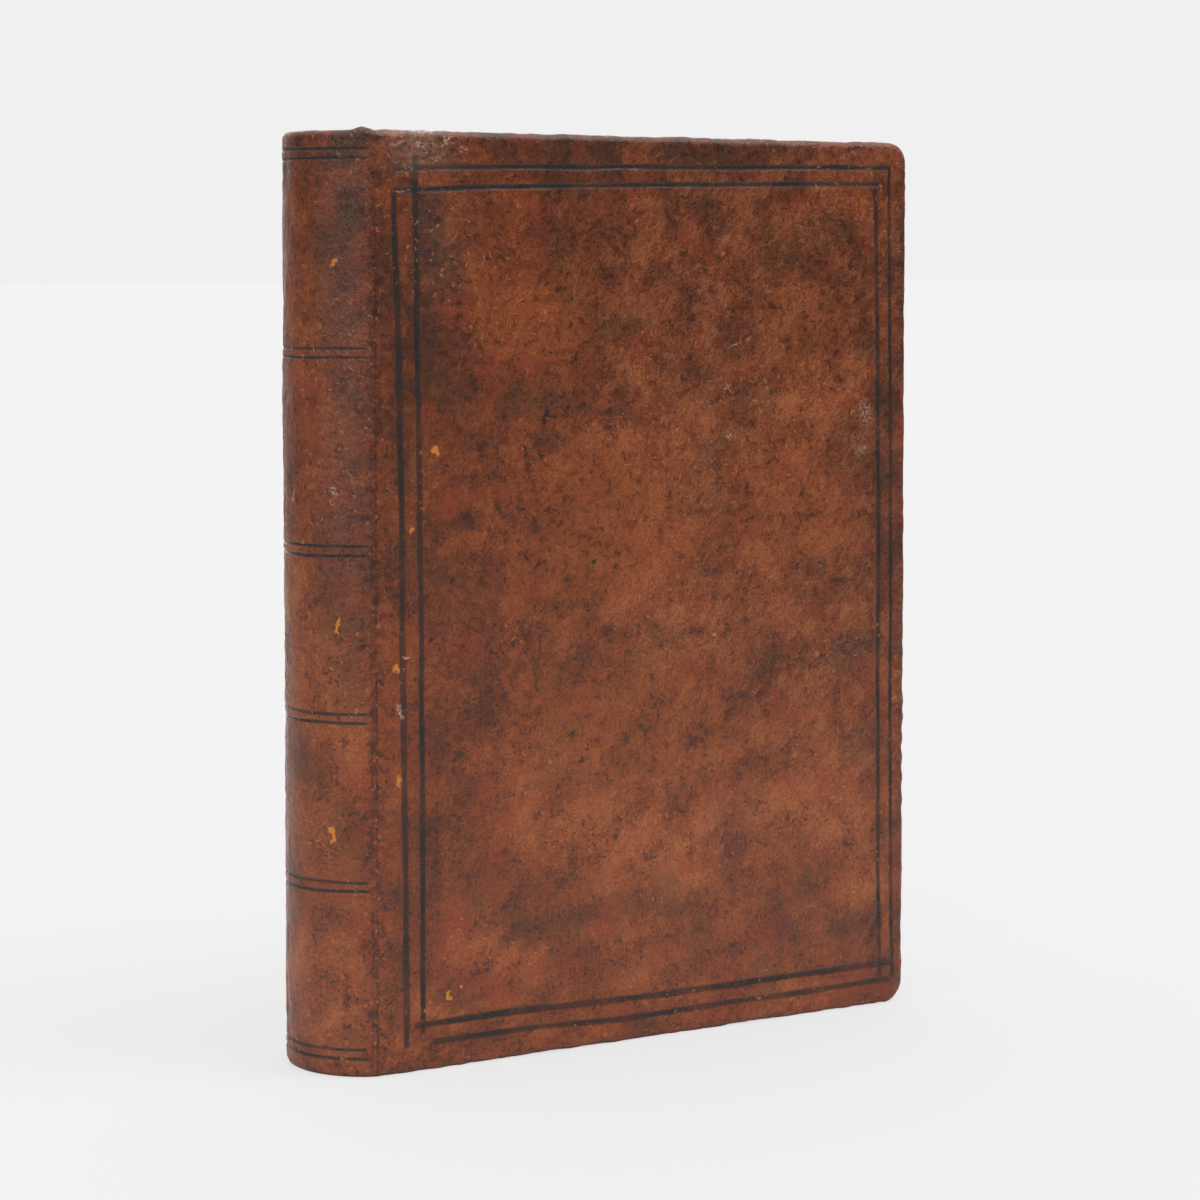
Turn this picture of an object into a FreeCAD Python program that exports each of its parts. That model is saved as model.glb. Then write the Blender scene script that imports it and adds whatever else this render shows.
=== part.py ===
# An antique full leather book with a smooth rounded spine and two hinged covers, standing on its tail.
# X runs from the spine to the fore-edge, Y from the front cover to the back cover, and Z from tail to head.
# The origin is the middle of the book's footprint. All sizes are in millimetres.
import FreeCAD, Part
import Sketcher
import math
import os

# Driving sizes, one line each. They become the cells of the sheet named Sizes.
SIZES = [
    ("book_height", 200.0),  # head to tail over the leather
    ("cover_width", 138.8),  # joint line to fore-edge over the leather
    ("book_thickness", 33.0),  # over both closed covers
    ("spine_bulge", 11.2),  # how far the round of the spine stands out past the joint line
    ("leather", 0.9),  # calf over boards and spine
    ("turn_in_skin", 0.5),  # pared calf folded over inside the boards
    ("turn_in_width", 15.0),  # how far the calf is turned in
    ("board", 2.6),  # pasteboard
    ("paper", 0.2),  # one endpaper leaf
    ("lining", 0.4),  # paper lining glued over the sewn back
    ("square_edge", 3.5),  # overhang of the boards past the leaves at head, tail and fore-edge
    ("paste_margin", 4.0),  # bare turned-in leather round the pastedown
    ("joint_gap", 0.3),  # slit between spine and cover at the joint
    ("leaf_gap", 0.3),  # air between a closed cover and the leaves
    ("shoulder_relief", 0.15),  # how far the spine stays inside the closed thickness
    ("tail_corner", 5.2),  # worn round of a fore-edge corner at the tail
    ("head_corner", 4.4),  # worn round of a fore-edge corner at the head
    ("cover_outer_round", 1.6),  # leather rounded over the outer edges of a board
    ("cover_inner_round", 0.7),  # and over its inner edges
    ("fore_edge_hollow", 4.0),  # depth of the concave fore-edge of the leaves
    ("cap_depth", 3.4),  # leather cap turned over the endband, towards the leaves
    ("cap_round", 0.7),  # round on the outer edge of a cap
    ("cord_radius", 0.9),  # sunk sewing cord
    ("thread_radius", 0.25),  # sewing thread
    ("kerf_play", 0.06),  # room round a cord and its thread in the sawn kerf
    ("gathering", 2.3),  # thickness of one sewn gathering at the back
    ("support_1", 40.7),  # height of each sewing support above the tail
    ("support_2", 76.5),
    ("support_3", 111.8),
    ("support_4", 153.3),
    ("band_core", 0.8),  # radius of an endband's core
    ("band_wrap", 0.35),  # thickness of the thread wound on it
    ("slip_length", 9.0),  # cord end laced into a board
    ("slip_width", 3.0),
    ("slip_skin", 0.8),  # thickness of the flattened cord end
    ("fillet_width", 1.4),  # blackened line tooled on a cover
    ("fillet_depth", 0.3),
    ("fillet_pitch", 4.1),  # spacing of the two lines of a pair
    ("fillet_end_inset", 6.4),  # outer line of a pair in from head or tail edge
    ("fillet_fore_inset", 4.9),  # outer line in from the fore-edge
    ("fillet_joint_inset", 5.8),  # outer line in from the joint
    ("fillet_overrun", 1.6),  # how far a line runs on past the frame's corner
    ("spine_line_width", 0.6),  # line tooled across the spine
    ("spine_line_depth", 0.25),
    ("spine_line_pitch", 2.0),
    ("spine_line_margin", 1.6),  # the spine lines stop short of the joint
    ("spine_line_inset", 5.0),  # end pairs in from head and tail
    ("blacking", 0.12),  # black left in the bottom of a tooled line
]

SUPPORTS = ["Sizes.support_1", "Sizes.support_2", "Sizes.support_3", "Sizes.support_4"]

# Derived sizes, as expressions on the sheet.
HALF_THICKNESS = "(Sizes.book_thickness / 2)"
ARC_HALF = "(Sizes.book_thickness / 2 - Sizes.shoulder_relief)"
SPINE_RADIUS = f"(({ARC_HALF} ^ 2 + Sizes.spine_bulge ^ 2) / (2 * Sizes.spine_bulge))"
LEATHER_INNER = f"({SPINE_RADIUS} - Sizes.leather)"
BACK_RADIUS = f"({LEATHER_INNER} - Sizes.lining)"
JOINT_X = "((Sizes.spine_bulge - Sizes.cover_width) / 2)"
AXIS_X = f"({JOINT_X} - Sizes.spine_bulge + {SPINE_RADIUS})"
SHOULDER = f"({SPINE_RADIUS} - Sizes.spine_bulge + Sizes.joint_gap / 2)"
BLOCK_HALF = (
    f"({HALF_THICKNESS} - Sizes.leather - Sizes.board - Sizes.turn_in_skin"
    " - 2 * Sizes.paper - Sizes.leaf_gap)"
)
BLOCK_TAIL = "Sizes.square_edge"
BLOCK_HEAD = "(Sizes.book_height - Sizes.square_edge)"
BLOCK_HEIGHT = "(Sizes.book_height - 2 * Sizes.square_edge)"
BLOCK_FORE = f"(Sizes.cover_width - Sizes.square_edge - {SPINE_RADIUS} + Sizes.spine_bulge)"
FORE_RADIUS = f"(({BLOCK_HALF} ^ 2 + Sizes.fore_edge_hollow ^ 2) / (2 * Sizes.fore_edge_hollow))"
BOARD_INNER = "(Sizes.leather + Sizes.board)"
COVER_INNER = "(Sizes.leather + Sizes.board + Sizes.turn_in_skin)"
COVER_START = "(Sizes.joint_gap / 2)"
CORD_CENTRE = f"({BACK_RADIUS} - Sizes.cord_radius - 2 * Sizes.thread_radius - Sizes.kerf_play)"
KERF_HALF = "(Sizes.cord_radius + 2 * Sizes.thread_radius + Sizes.kerf_play)"
LOOP_RADIUS = "(Sizes.cord_radius + Sizes.thread_radius + 0.5 * Sizes.kerf_play)"
BAND_RADIUS = "(Sizes.band_core + Sizes.band_wrap)"
BAND_CENTRE = f"({LEATHER_INNER} - {BAND_RADIUS} - 0.5 * Sizes.kerf_play)"
SPINE_LINE_ANGLE = f"(2 * asin(({ARC_HALF} - Sizes.spine_line_margin) / {SPINE_RADIUS}))"

doc = FreeCAD.newDocument("leather_book")
sheet = doc.addObject("Spreadsheet::Sheet", "Sizes")
nodes = []


def fill_sheet():
    """Writes every driving size into its own cell, with its alias."""
    for row, (alias, size) in enumerate(SIZES, start=1):
        sheet.set(f"A{row}", alias)
        sheet.set(f"B{row}", str(size))
        sheet.setAlias(f"B{row}", alias)
    doc.recompute()


def number(expression):
    """The present value of an expression on the sheet, in millimetres or degrees."""
    found = sheet.evalExpression(expression)
    return float(getattr(found, "Value", found))


def new_body(label, x="0", y="0", z="0", turned=False):
    """A body at a place given by expressions; turned lays it upside down, as the back cover is."""
    body = doc.addObject("PartDesign::Body", label)
    body.Label = label
    if turned:
        body.Placement = FreeCAD.Placement(
            FreeCAD.Vector(0, 0, 0), FreeCAD.Rotation(FreeCAD.Vector(1, 0, 0), 180)
        )
    for axis, expression in (("x", x), ("y", y), ("z", z)):
        body.setExpression(f"Placement.Base.{axis}", expression)
    nodes.append(body)
    return body


def spine_body(label):
    """A body whose own Z axis is the centre line of the spine's round."""
    return new_body(label, x=AXIS_X)


def origin_part(body, role):
    """The body's own origin plane or axis of that role."""
    return next(part for part in body.Origin.OriginFeatures if part.Role == role)


def new_sketch(body, plane, name, offset="0"):
    """A sketch on one of the body's origin planes, moved along the plane's normal by offset."""
    sketch = body.newObject("Sketcher::SketchObject", f"{body.Label}_{name}")
    sketch.AttachmentSupport = [(origin_part(body, plane), "")]
    sketch.MapMode = "FlatFace"
    sketch.setExpression("AttachmentOffset.Base.z", offset)
    return sketch


def bind(sketch, constraint, expression):
    """Adds a constraint and ties its value to an expression."""
    index = sketch.addConstraint(constraint)
    sketch.setExpression(f"Constraints[{index}]", expression)


def place_point(sketch, edge, end, axis, expression):
    """Fixes one coordinate of an edge's end; axis is X or Y of the sketch."""
    size = number(expression)
    kind = f"Distance{axis}"
    if abs(size) < 1e-9:
        datum_line = -2 if axis == "X" else -1
        sketch.addConstraint(Sketcher.Constraint("PointOnObject", edge, end, datum_line))
    elif size > 0:
        bind(sketch, Sketcher.Constraint(kind, -1, 1, edge, end, size), expression)
    else:
        bind(sketch, Sketcher.Constraint(kind, edge, end, -1, 1, -size), f"-({expression})")


def line(x1, y1, x2, y2):
    """A straight sketch edge."""
    return Part.LineSegment(FreeCAD.Vector(x1, y1, 0), FreeCAD.Vector(x2, y2, 0))


def arc(x, y, radius, start, end):
    """A sketch arc that runs anticlockwise between two angles in degrees."""
    circle = Part.Circle(FreeCAD.Vector(x, y, 0), FreeCAD.Vector(0, 0, 1), radius)
    return Part.ArcOfCircle(circle, math.radians(start), math.radians(end))


def add_rectangle(sketch, left, bottom, right, top):
    """A rectangle whose four sides are expressions."""
    x1, y1, x2, y2 = (number(side) for side in (left, bottom, right, top))
    sides = [line(x1, y1, x2, y1), line(x2, y1, x2, y2), line(x2, y2, x1, y2), line(x1, y2, x1, y1)]
    first = sketch.addGeometry(sides, False)[0]
    for step in range(4):
        following = first + (step + 1) % 4
        sketch.addConstraint(Sketcher.Constraint("Coincident", first + step, 2, following, 1))
        direction = "Vertical" if step % 2 else "Horizontal"
        sketch.addConstraint(Sketcher.Constraint(direction, first + step))
    place_point(sketch, first, 1, "X", left)
    place_point(sketch, first, 1, "Y", bottom)
    place_point(sketch, first + 1, 2, "X", right)
    place_point(sketch, first + 1, 2, "Y", top)


def add_plate(sketch, left, bottom, right, top, tail_round, head_round):
    """A cover-shaped outline: square at the joint, rounded at the two fore-edge corners."""
    x1, y1, x2, y2 = (number(side) for side in (left, bottom, right, top))
    low, high = number(tail_round), number(head_round)
    sketch.addGeometry(
        [
            line(x1, y1, x2 - low, y1),
            arc(x2 - low, y1 + low, low, -90, 0),
            line(x2, y1 + low, x2, y2 - high),
            arc(x2 - high, y2 - high, high, 0, 90),
            line(x2 - high, y2, x1, y2),
            line(x1, y2, x1, y1),
        ],
        False,
    )
    for edge in range(4):
        sketch.addConstraint(Sketcher.Constraint("Tangent", edge, 2, edge + 1, 1))
    sketch.addConstraint(Sketcher.Constraint("Coincident", 4, 2, 5, 1))
    sketch.addConstraint(Sketcher.Constraint("Coincident", 5, 2, 0, 1))
    for edge, direction in ((0, "Horizontal"), (2, "Vertical"), (4, "Horizontal"), (5, "Vertical")):
        sketch.addConstraint(Sketcher.Constraint(direction, edge))
    bind(sketch, Sketcher.Constraint("Radius", 1, low), tail_round)
    bind(sketch, Sketcher.Constraint("Radius", 3, high), head_round)
    place_point(sketch, 0, 1, "X", left)
    place_point(sketch, 0, 1, "Y", bottom)
    place_point(sketch, 2, 1, "X", right)
    place_point(sketch, 4, 2, "Y", top)


def add_spine_band(sketch, outer, inner):
    """A crescent slice of the spine between two radii, cut off at the shoulders."""
    edge_x = number(SHOULDER)
    reach = [math.degrees(math.acos(edge_x / number(radius))) for radius in (outer, inner)]
    outer_y, inner_y = (math.sqrt(number(radius) ** 2 - edge_x**2) for radius in (outer, inner))
    sketch.addGeometry(
        [
            arc(0, 0, number(outer), 180 - reach[0], 180 + reach[0]),
            line(-edge_x, -outer_y, -edge_x, -inner_y),
            arc(0, 0, number(inner), 180 - reach[1], 180 + reach[1]),
            line(-edge_x, inner_y, -edge_x, outer_y),
        ],
        False,
    )
    for edge, radius in ((0, outer), (2, inner)):
        sketch.addConstraint(Sketcher.Constraint("Coincident", edge, 3, -1, 1))
        bind(sketch, Sketcher.Constraint("Radius", edge, number(radius)), radius)
    sketch.addConstraint(Sketcher.Constraint("Coincident", 0, 2, 1, 1))
    sketch.addConstraint(Sketcher.Constraint("Coincident", 1, 2, 2, 2))
    sketch.addConstraint(Sketcher.Constraint("Coincident", 2, 1, 3, 1))
    sketch.addConstraint(Sketcher.Constraint("Coincident", 3, 2, 0, 1))
    for edge in (1, 3):
        sketch.addConstraint(Sketcher.Constraint("Vertical", edge))
        place_point(sketch, edge, 1, "X", f"-{SHOULDER}")


def add_circle(sketch, x, y, radius):
    """A circle whose centre and radius are expressions."""
    centre = FreeCAD.Vector(number(x), number(y), 0)
    circle = Part.Circle(centre, FreeCAD.Vector(0, 0, 1), number(radius))
    edge = sketch.addGeometry(circle, False)
    place_point(sketch, edge, 3, "X", x)
    place_point(sketch, edge, 3, "Y", y)
    bind(sketch, Sketcher.Constraint("Radius", edge, number(radius)), radius)


def pad(body, sketch, length, reverse=False):
    """Adds the sketch's outline as a solid of that length."""
    feature = body.newObject("PartDesign::Pad", f"{sketch.Name}_pad")
    feature.Profile = sketch
    feature.Reversed = reverse
    feature.setExpression("Length", length)
    sketch.Visibility = False
    return feature


def checked_cut(body, feature):
    """Makes sure that a cutting feature has taken something away."""
    before = body.Shape.Volume
    doc.recompute()
    if body.Shape.Volume > before - 1e-6:
        raise RuntimeError(f"{feature.Name} cuts nothing")
    return feature


def pocket(body, sketch, depth):
    """Cuts the sketch's outline against its plane's normal, to that depth."""
    doc.recompute()
    feature = body.newObject("PartDesign::Pocket", f"{sketch.Name}_pocket")
    feature.Profile = sketch
    feature.setExpression("Length", depth)
    return checked_cut(body, feature)


def turn(body, sketch, angle, kind="Revolution"):
    """Sweeps the sketch round the body's Z axis by angle, half to each side of its plane."""
    doc.recompute()
    feature = body.newObject(f"PartDesign::{kind}", f"{sketch.Name}_{kind.lower()}")
    feature.Profile = sketch
    feature.ReferenceAxis = (origin_part(body, "Z_Axis"), [""])
    feature.Midplane = True
    feature.setExpression("Angle", angle)
    if kind == "Groove":
        return checked_cut(body, feature)
    doc.recompute()
    return feature


def round_edges(body, base, chosen, radius, name):
    """Rounds the edges of a feature that the test named chosen picks."""
    doc.recompute()
    names = [
        f"Edge{index}" for index, edge in enumerate(base.Shape.Edges, start=1) if chosen(edge)
    ]
    if not names:
        raise RuntimeError(f"{body.Label}: no edge found for {name}")
    feature = body.newObject("PartDesign::Fillet", f"{body.Label}_{name}")
    feature.Base = (base, names)
    feature.setExpression("Radius", radius)
    doc.recompute()
    return feature


def swing_angle(radius, section):
    """The angle over which a section of that half width, at that radius, stays behind the shoulders."""
    return f"(2 * acos({SHOULDER} / ({radius} - {section})))"


def build_text_block():
    """The sewn leaves: one solid with a rounded, backed spine, a hollow fore-edge and sawn kerfs."""
    body = spine_body("text_block")
    sketch = new_sketch(body, "XY_Plane", "section", BLOCK_TAIL)
    back, edge_x, half = number(BACK_RADIUS), number(SHOULDER), number(BLOCK_HALF)
    reach = math.degrees(math.acos(edge_x / back))
    shoulder_y = math.sqrt(back**2 - edge_x**2)
    fore_x, hollow = number(BLOCK_FORE), number("Sizes.fore_edge_hollow")
    fore_radius = number(FORE_RADIUS)
    spread = math.degrees(math.asin(half / fore_radius))
    sketch.addGeometry(
        [
            arc(0, 0, back, 180 - reach, 180 + reach),
            line(-edge_x, -shoulder_y, -edge_x, -half),
            line(-edge_x, -half, fore_x, -half),
            arc(fore_x - hollow + fore_radius, 0, fore_radius, 180 - spread, 180 + spread),
            line(fore_x, half, -edge_x, half),
            line(-edge_x, half, -edge_x, shoulder_y),
        ],
        False,
    )
    joins = [(0, 2, 1, 1), (1, 2, 2, 1), (2, 2, 3, 2), (3, 1, 4, 1), (4, 2, 5, 1), (5, 2, 0, 1)]
    for first, end, second, start in joins:
        sketch.addConstraint(Sketcher.Constraint("Coincident", first, end, second, start))
    sketch.addConstraint(Sketcher.Constraint("Coincident", 0, 3, -1, 1))
    bind(sketch, Sketcher.Constraint("Radius", 0, back), BACK_RADIUS)
    bind(sketch, Sketcher.Constraint("Radius", 3, fore_radius), FORE_RADIUS)
    for edge in (1, 5):
        sketch.addConstraint(Sketcher.Constraint("Vertical", edge))
        place_point(sketch, edge, 1, "X", f"-{SHOULDER}")
    for edge in (2, 4):
        sketch.addConstraint(Sketcher.Constraint("Horizontal", edge))
    place_point(sketch, 2, 1, "Y", f"-{BLOCK_HALF}")
    place_point(sketch, 4, 2, "Y", BLOCK_HALF)
    place_point(sketch, 2, 2, "X", BLOCK_FORE)
    place_point(sketch, 4, 1, "X", BLOCK_FORE)
    pad(body, sketch, BLOCK_HEIGHT)
    kerfs = new_sketch(body, "XZ_Plane", "kerfs")
    for support in SUPPORTS:
        add_rectangle(
            kerfs,
            f"-({BACK_RADIUS} + Sizes.lining)",
            f"({support} - {KERF_HALF})",
            f"-({CORD_CENTRE} - {KERF_HALF})",
            f"({support} + {KERF_HALF})",
        )
    turn(body, kerfs, "180", "Groove")


def build_flyleaf(label, side):
    """The free leaf of an endpaper, lying on one flat side of the leaves."""
    body = spine_body(label)
    outer_face = f"{-side} * ({BLOCK_HALF} + Sizes.paper)"
    sketch = new_sketch(body, "XZ_Plane", "leaf", outer_face)
    add_rectangle(sketch, f"-{SHOULDER}", BLOCK_TAIL, BLOCK_FORE, BLOCK_HEAD)
    pad(body, sketch, "Sizes.paper", reverse=side < 0)


def build_lining():
    """The paper lining glued round the sewn back, under the leather."""
    body = spine_body("spine_lining")
    sketch = new_sketch(body, "XY_Plane", "section", BLOCK_TAIL)
    add_spine_band(sketch, LEATHER_INNER, BACK_RADIUS)
    pad(body, sketch, BLOCK_HEIGHT)


def build_sewing_support(index, height):
    """One sunk cord that the gatherings are sewn on, following the round of the back."""
    body = spine_body(f"sewing_support_{index}")
    sketch = new_sketch(body, "XZ_Plane", "section")
    add_circle(sketch, f"-{CORD_CENTRE}", height, "Sizes.cord_radius")
    turn(body, sketch, swing_angle(CORD_CENTRE, "Sizes.cord_radius"))


def build_sewing_thread():
    """A loop of thread round each cord for every gathering, all in one node."""
    reach = number(swing_angle(CORD_CENTRE, KERF_HALF)) / 2
    step = math.degrees(number("Sizes.gathering") / number(CORD_CENTRE))
    count = int(reach / step)
    loops = []
    for height in SUPPORTS:
        for place in range(-count, count + 1):
            loop = doc.addObject("Part::Torus", "thread_loop")
            loop.setExpression("Radius1", LOOP_RADIUS)
            loop.setExpression("Radius2", "Sizes.thread_radius")
            swing = FreeCAD.Rotation(FreeCAD.Vector(0, 0, 1), place * step)
            upright = FreeCAD.Rotation(FreeCAD.Vector(1, 0, 0), 90)
            loop.Placement = FreeCAD.Placement(FreeCAD.Vector(0, 0, 0), swing * upright)
            along = f"{place} * Sizes.gathering / {CORD_CENTRE} * 180 / pi"
            loop.setExpression("Placement.Base.x", f"-{CORD_CENTRE} * cos({along})")
            loop.setExpression("Placement.Base.y", f"-{CORD_CENTRE} * sin({along})")
            loop.setExpression("Placement.Base.z", height)
            loops.append(loop)
    thread = doc.addObject("Part::Compound", "sewing_thread")
    thread.Label = "sewing_thread"
    thread.Links = loops
    thread.setExpression("Placement.Base.x", AXIS_X)
    nodes.append(thread)


def build_endband(name, height):
    """A wound endband: its core, and the thread wrapped round it."""
    angle = swing_angle(BAND_CENTRE, BAND_RADIUS)
    core = spine_body(f"{name}_core")
    section = new_sketch(core, "XZ_Plane", "section")
    add_circle(section, f"-{BAND_CENTRE}", height, "Sizes.band_core")
    turn(core, section, angle)
    wrap = spine_body(f"{name}_thread")
    ring = new_sketch(wrap, "XZ_Plane", "section")
    add_circle(ring, f"-{BAND_CENTRE}", height, BAND_RADIUS)
    add_circle(ring, f"-{BAND_CENTRE}", height, "Sizes.band_core")
    turn(wrap, ring, angle)


def spine_line_heights():
    """The middle of each pair of lines across the spine, from tail to head."""
    tail_pair = "Sizes.spine_line_inset"
    head_pair = "(Sizes.book_height - Sizes.spine_line_inset)"
    return [tail_pair, *SUPPORTS, head_pair]


def add_spine_lines(sketch, outer, inner):
    """The sections of all the lines across the spine, between two radii."""
    for height in spine_line_heights():
        for sign in ("-", "+"):
            middle = f"({height} {sign} Sizes.spine_line_pitch / 2)"
            low = f"({middle} - Sizes.spine_line_width / 2)"
            high = f"({middle} + Sizes.spine_line_width / 2)"
            add_rectangle(sketch, f"-{outer}", low, f"-{inner}", high)


def build_spine_leather():
    """The calf over the rounded spine, with a cap turned over each endband and lines tooled across."""
    body = spine_body("spine_leather")
    shell = new_sketch(body, "XY_Plane", "shell")
    add_spine_band(shell, SPINE_RADIUS, LEATHER_INNER)
    pad(body, shell, "Sizes.book_height")
    for name, start in (("tail_cap", "0"), ("head_cap", "(Sizes.book_height - Sizes.leather)")):
        cap = new_sketch(body, "XY_Plane", name, start)
        add_spine_band(cap, SPINE_RADIUS, f"({SPINE_RADIUS} - Sizes.cap_depth)")
        last = pad(body, cap, "Sizes.leather")
    ends = (0.0, number("Sizes.book_height"))
    outer = number(SPINE_RADIUS)

    def cap_rim(edge):
        middle = edge.valueAt((edge.FirstParameter + edge.LastParameter) / 2)
        on_end = min(abs(middle.z - end) for end in ends) < 1e-6
        return on_end and abs(math.hypot(middle.x, middle.y) - outer) < 1e-6

    round_edges(body, last, cap_rim, "Sizes.cap_round", "cap_round")
    lines = new_sketch(body, "XZ_Plane", "lines")
    add_spine_lines(lines, f"({SPINE_RADIUS} + 1)", f"({SPINE_RADIUS} - Sizes.spine_line_depth)")
    turn(body, lines, SPINE_LINE_ANGLE, "Groove")


def build_spine_blacking():
    """The black in the lines across the spine."""
    body = spine_body("spine_tooled_lines")
    sketch = new_sketch(body, "XZ_Plane", "lines")
    floor = f"({SPINE_RADIUS} - Sizes.spine_line_depth)"
    add_spine_lines(sketch, f"({floor} + Sizes.blacking)", floor)
    turn(body, sketch, SPINE_LINE_ANGLE)


class Cover:
    """One hinged cover, drawn with its outer face at y 0, its joint at x 0 and its tail at z 0.

    The back cover is the same drawing turned over end for end, so its heights are counted from the head.
    """

    def __init__(self, side):
        self.side = side
        self.turned = side == "back"
        self.low_corner = "Sizes.head_corner" if self.turned else "Sizes.tail_corner"
        self.high_corner = "Sizes.tail_corner" if self.turned else "Sizes.head_corner"

    def body(self, label):
        """A body in the cover's own frame."""
        y = HALF_THICKNESS if self.turned else f"-{HALF_THICKNESS}"
        z = "Sizes.book_height" if self.turned else "0"
        return new_body(f"{self.side}_{label}", x=JOINT_X, y=y, z=z, turned=self.turned)

    def sketch(self, body, name, depth):
        """A sketch parallel to the cover, at a depth below its outer face."""
        return new_sketch(body, "XZ_Plane", name, f"-({depth})")

    def height(self, expression):
        """A height above the book's tail, in the cover's own frame."""
        return f"(Sizes.book_height - {expression})" if self.turned else expression

    def add_inset_plate(self, sketch, inset, start=COVER_START):
        """The cover's outline drawn in by inset at head, tail and fore-edge."""
        add_plate(
            sketch,
            start,
            inset,
            f"(Sizes.cover_width - {inset})",
            f"(Sizes.book_height - {inset})",
            f"({self.low_corner} - {inset})",
            f"({self.high_corner} - {inset})",
        )

    def add_slips(self, sketch, start, end):
        """One rectangle for each laced-in cord end."""
        for support in SUPPORTS:
            middle = self.height(support)
            low = f"({middle} - Sizes.slip_width / 2)"
            high = f"({middle} + Sizes.slip_width / 2)"
            add_rectangle(sketch, start, low, end, high)

    def add_slip_strips(self, sketch):
        """The part of each cord end that lies flat on the board."""
        self.add_slips(sketch, COVER_START, "Sizes.slip_length")

    def add_slip_plugs(self, sketch):
        """The part of each cord end that goes through the board."""
        self.add_slips(sketch, "(Sizes.slip_length - Sizes.slip_width)", "Sizes.slip_length")

    def add_level_lines(self, sketch):
        """The two pairs of fillets along head and tail."""
        near = "(Sizes.fillet_joint_inset - Sizes.fillet_overrun)"
        far = "(Sizes.cover_width - Sizes.fillet_fore_inset + Sizes.fillet_overrun)"
        for inset in ("Sizes.fillet_end_inset", "(Sizes.fillet_end_inset + Sizes.fillet_pitch)"):
            for middle in (inset, f"(Sizes.book_height - {inset})"):
                low = f"({middle} - Sizes.fillet_width / 2)"
                high = f"({middle} + Sizes.fillet_width / 2)"
                add_rectangle(sketch, near, low, far, high)

    def add_upright_lines(self, sketch):
        """The two pairs of fillets along joint and fore-edge."""
        near = "(Sizes.fillet_end_inset - Sizes.fillet_overrun)"
        far = "(Sizes.book_height - Sizes.fillet_end_inset + Sizes.fillet_overrun)"
        joint_line = "Sizes.fillet_joint_inset"
        fore_line = "(Sizes.cover_width - Sizes.fillet_fore_inset)"
        pairs = (
            joint_line,
            f"({joint_line} + Sizes.fillet_pitch)",
            fore_line,
            f"({fore_line} - Sizes.fillet_pitch)",
        )
        for middle in pairs:
            left = f"({middle} - Sizes.fillet_width / 2)"
            right = f"({middle} + Sizes.fillet_width / 2)"
            add_rectangle(sketch, left, near, right, far)

    def build_board(self):
        """The pasteboard, with a channel and a hole for each laced-in cord end."""
        body = self.body("board")
        outline = self.sketch(body, "outline", "Sizes.leather")
        self.add_inset_plate(outline, "Sizes.leather")
        pad(body, outline, "Sizes.board", reverse=True)
        channels = self.sketch(body, "channels", "Sizes.leather")
        self.add_slip_strips(channels)
        pocket(body, channels, "Sizes.slip_skin")
        holes = self.sketch(body, "holes", "Sizes.leather")
        self.add_slip_plugs(holes)
        pocket(body, holes, "Sizes.board")

    def build_slips(self):
        """The four cord ends laced into the board."""
        body = self.body("lacing_slips")
        strips = self.sketch(body, "strips", "Sizes.leather")
        self.add_slip_strips(strips)
        pad(body, strips, "Sizes.slip_skin", reverse=True)
        plugs = self.sketch(body, "plugs", "Sizes.leather")
        self.add_slip_plugs(plugs)
        pad(body, plugs, "Sizes.board", reverse=True)

    def build_leather(self):
        """The calf over the board and its three free edges, turned in on the inside and tooled outside."""
        body = self.body("cover_leather")
        outline = self.sketch(body, "outline", "0")
        self.add_inset_plate(outline, "0")
        solid = pad(body, outline, COVER_INNER, reverse=True)
        depths = {0.0: "outer", number(COVER_INNER): "inner"}
        joint = number(COVER_START)

        def rim(depth):
            def chosen(edge):
                points = [vertex.Point for vertex in edge.Vertexes]
                on_face = all(abs(point.y - depth) < 1e-6 for point in points)
                at_joint = all(abs(point.x - joint) < 1e-6 for point in points)
                return on_face and not at_joint

            return chosen

        for depth, name in depths.items():
            radius = f"Sizes.cover_{name}_round"
            solid = round_edges(body, solid, rim(depth), radius, f"{name}_round")
        cavity = self.sketch(body, "cavity", "Sizes.leather")
        self.add_inset_plate(cavity, "Sizes.leather", "0")
        pocket(body, cavity, "Sizes.board")
        window = self.sketch(body, "window", BOARD_INNER)
        self.add_window(window, "Sizes.turn_in_width", "0")
        pocket(body, window, "Sizes.turn_in_skin")
        level = self.sketch(body, "level_lines", "0")
        self.add_level_lines(level)
        pocket(body, level, "Sizes.fillet_depth")
        upright = self.sketch(body, "upright_lines", "0")
        self.add_upright_lines(upright)
        pocket(body, upright, "Sizes.fillet_depth")

    def add_window(self, sketch, inset, start):
        """A plain rectangle inside the cover, in by inset from head, tail and fore-edge."""
        right = f"(Sizes.cover_width - {inset})"
        top = f"(Sizes.book_height - {inset})"
        add_rectangle(sketch, start, inset, right, top)

    def build_blacking(self):
        """The black in the cover's tooled lines."""
        body = self.body("tooled_lines")
        floor = "(Sizes.fillet_depth - Sizes.blacking)"
        level = self.sketch(body, "level_lines", floor)
        self.add_level_lines(level)
        pad(body, level, "Sizes.blacking", reverse=True)
        upright = self.sketch(body, "upright_lines", floor)
        self.add_upright_lines(upright)
        pad(body, upright, "Sizes.blacking", reverse=True)

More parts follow.
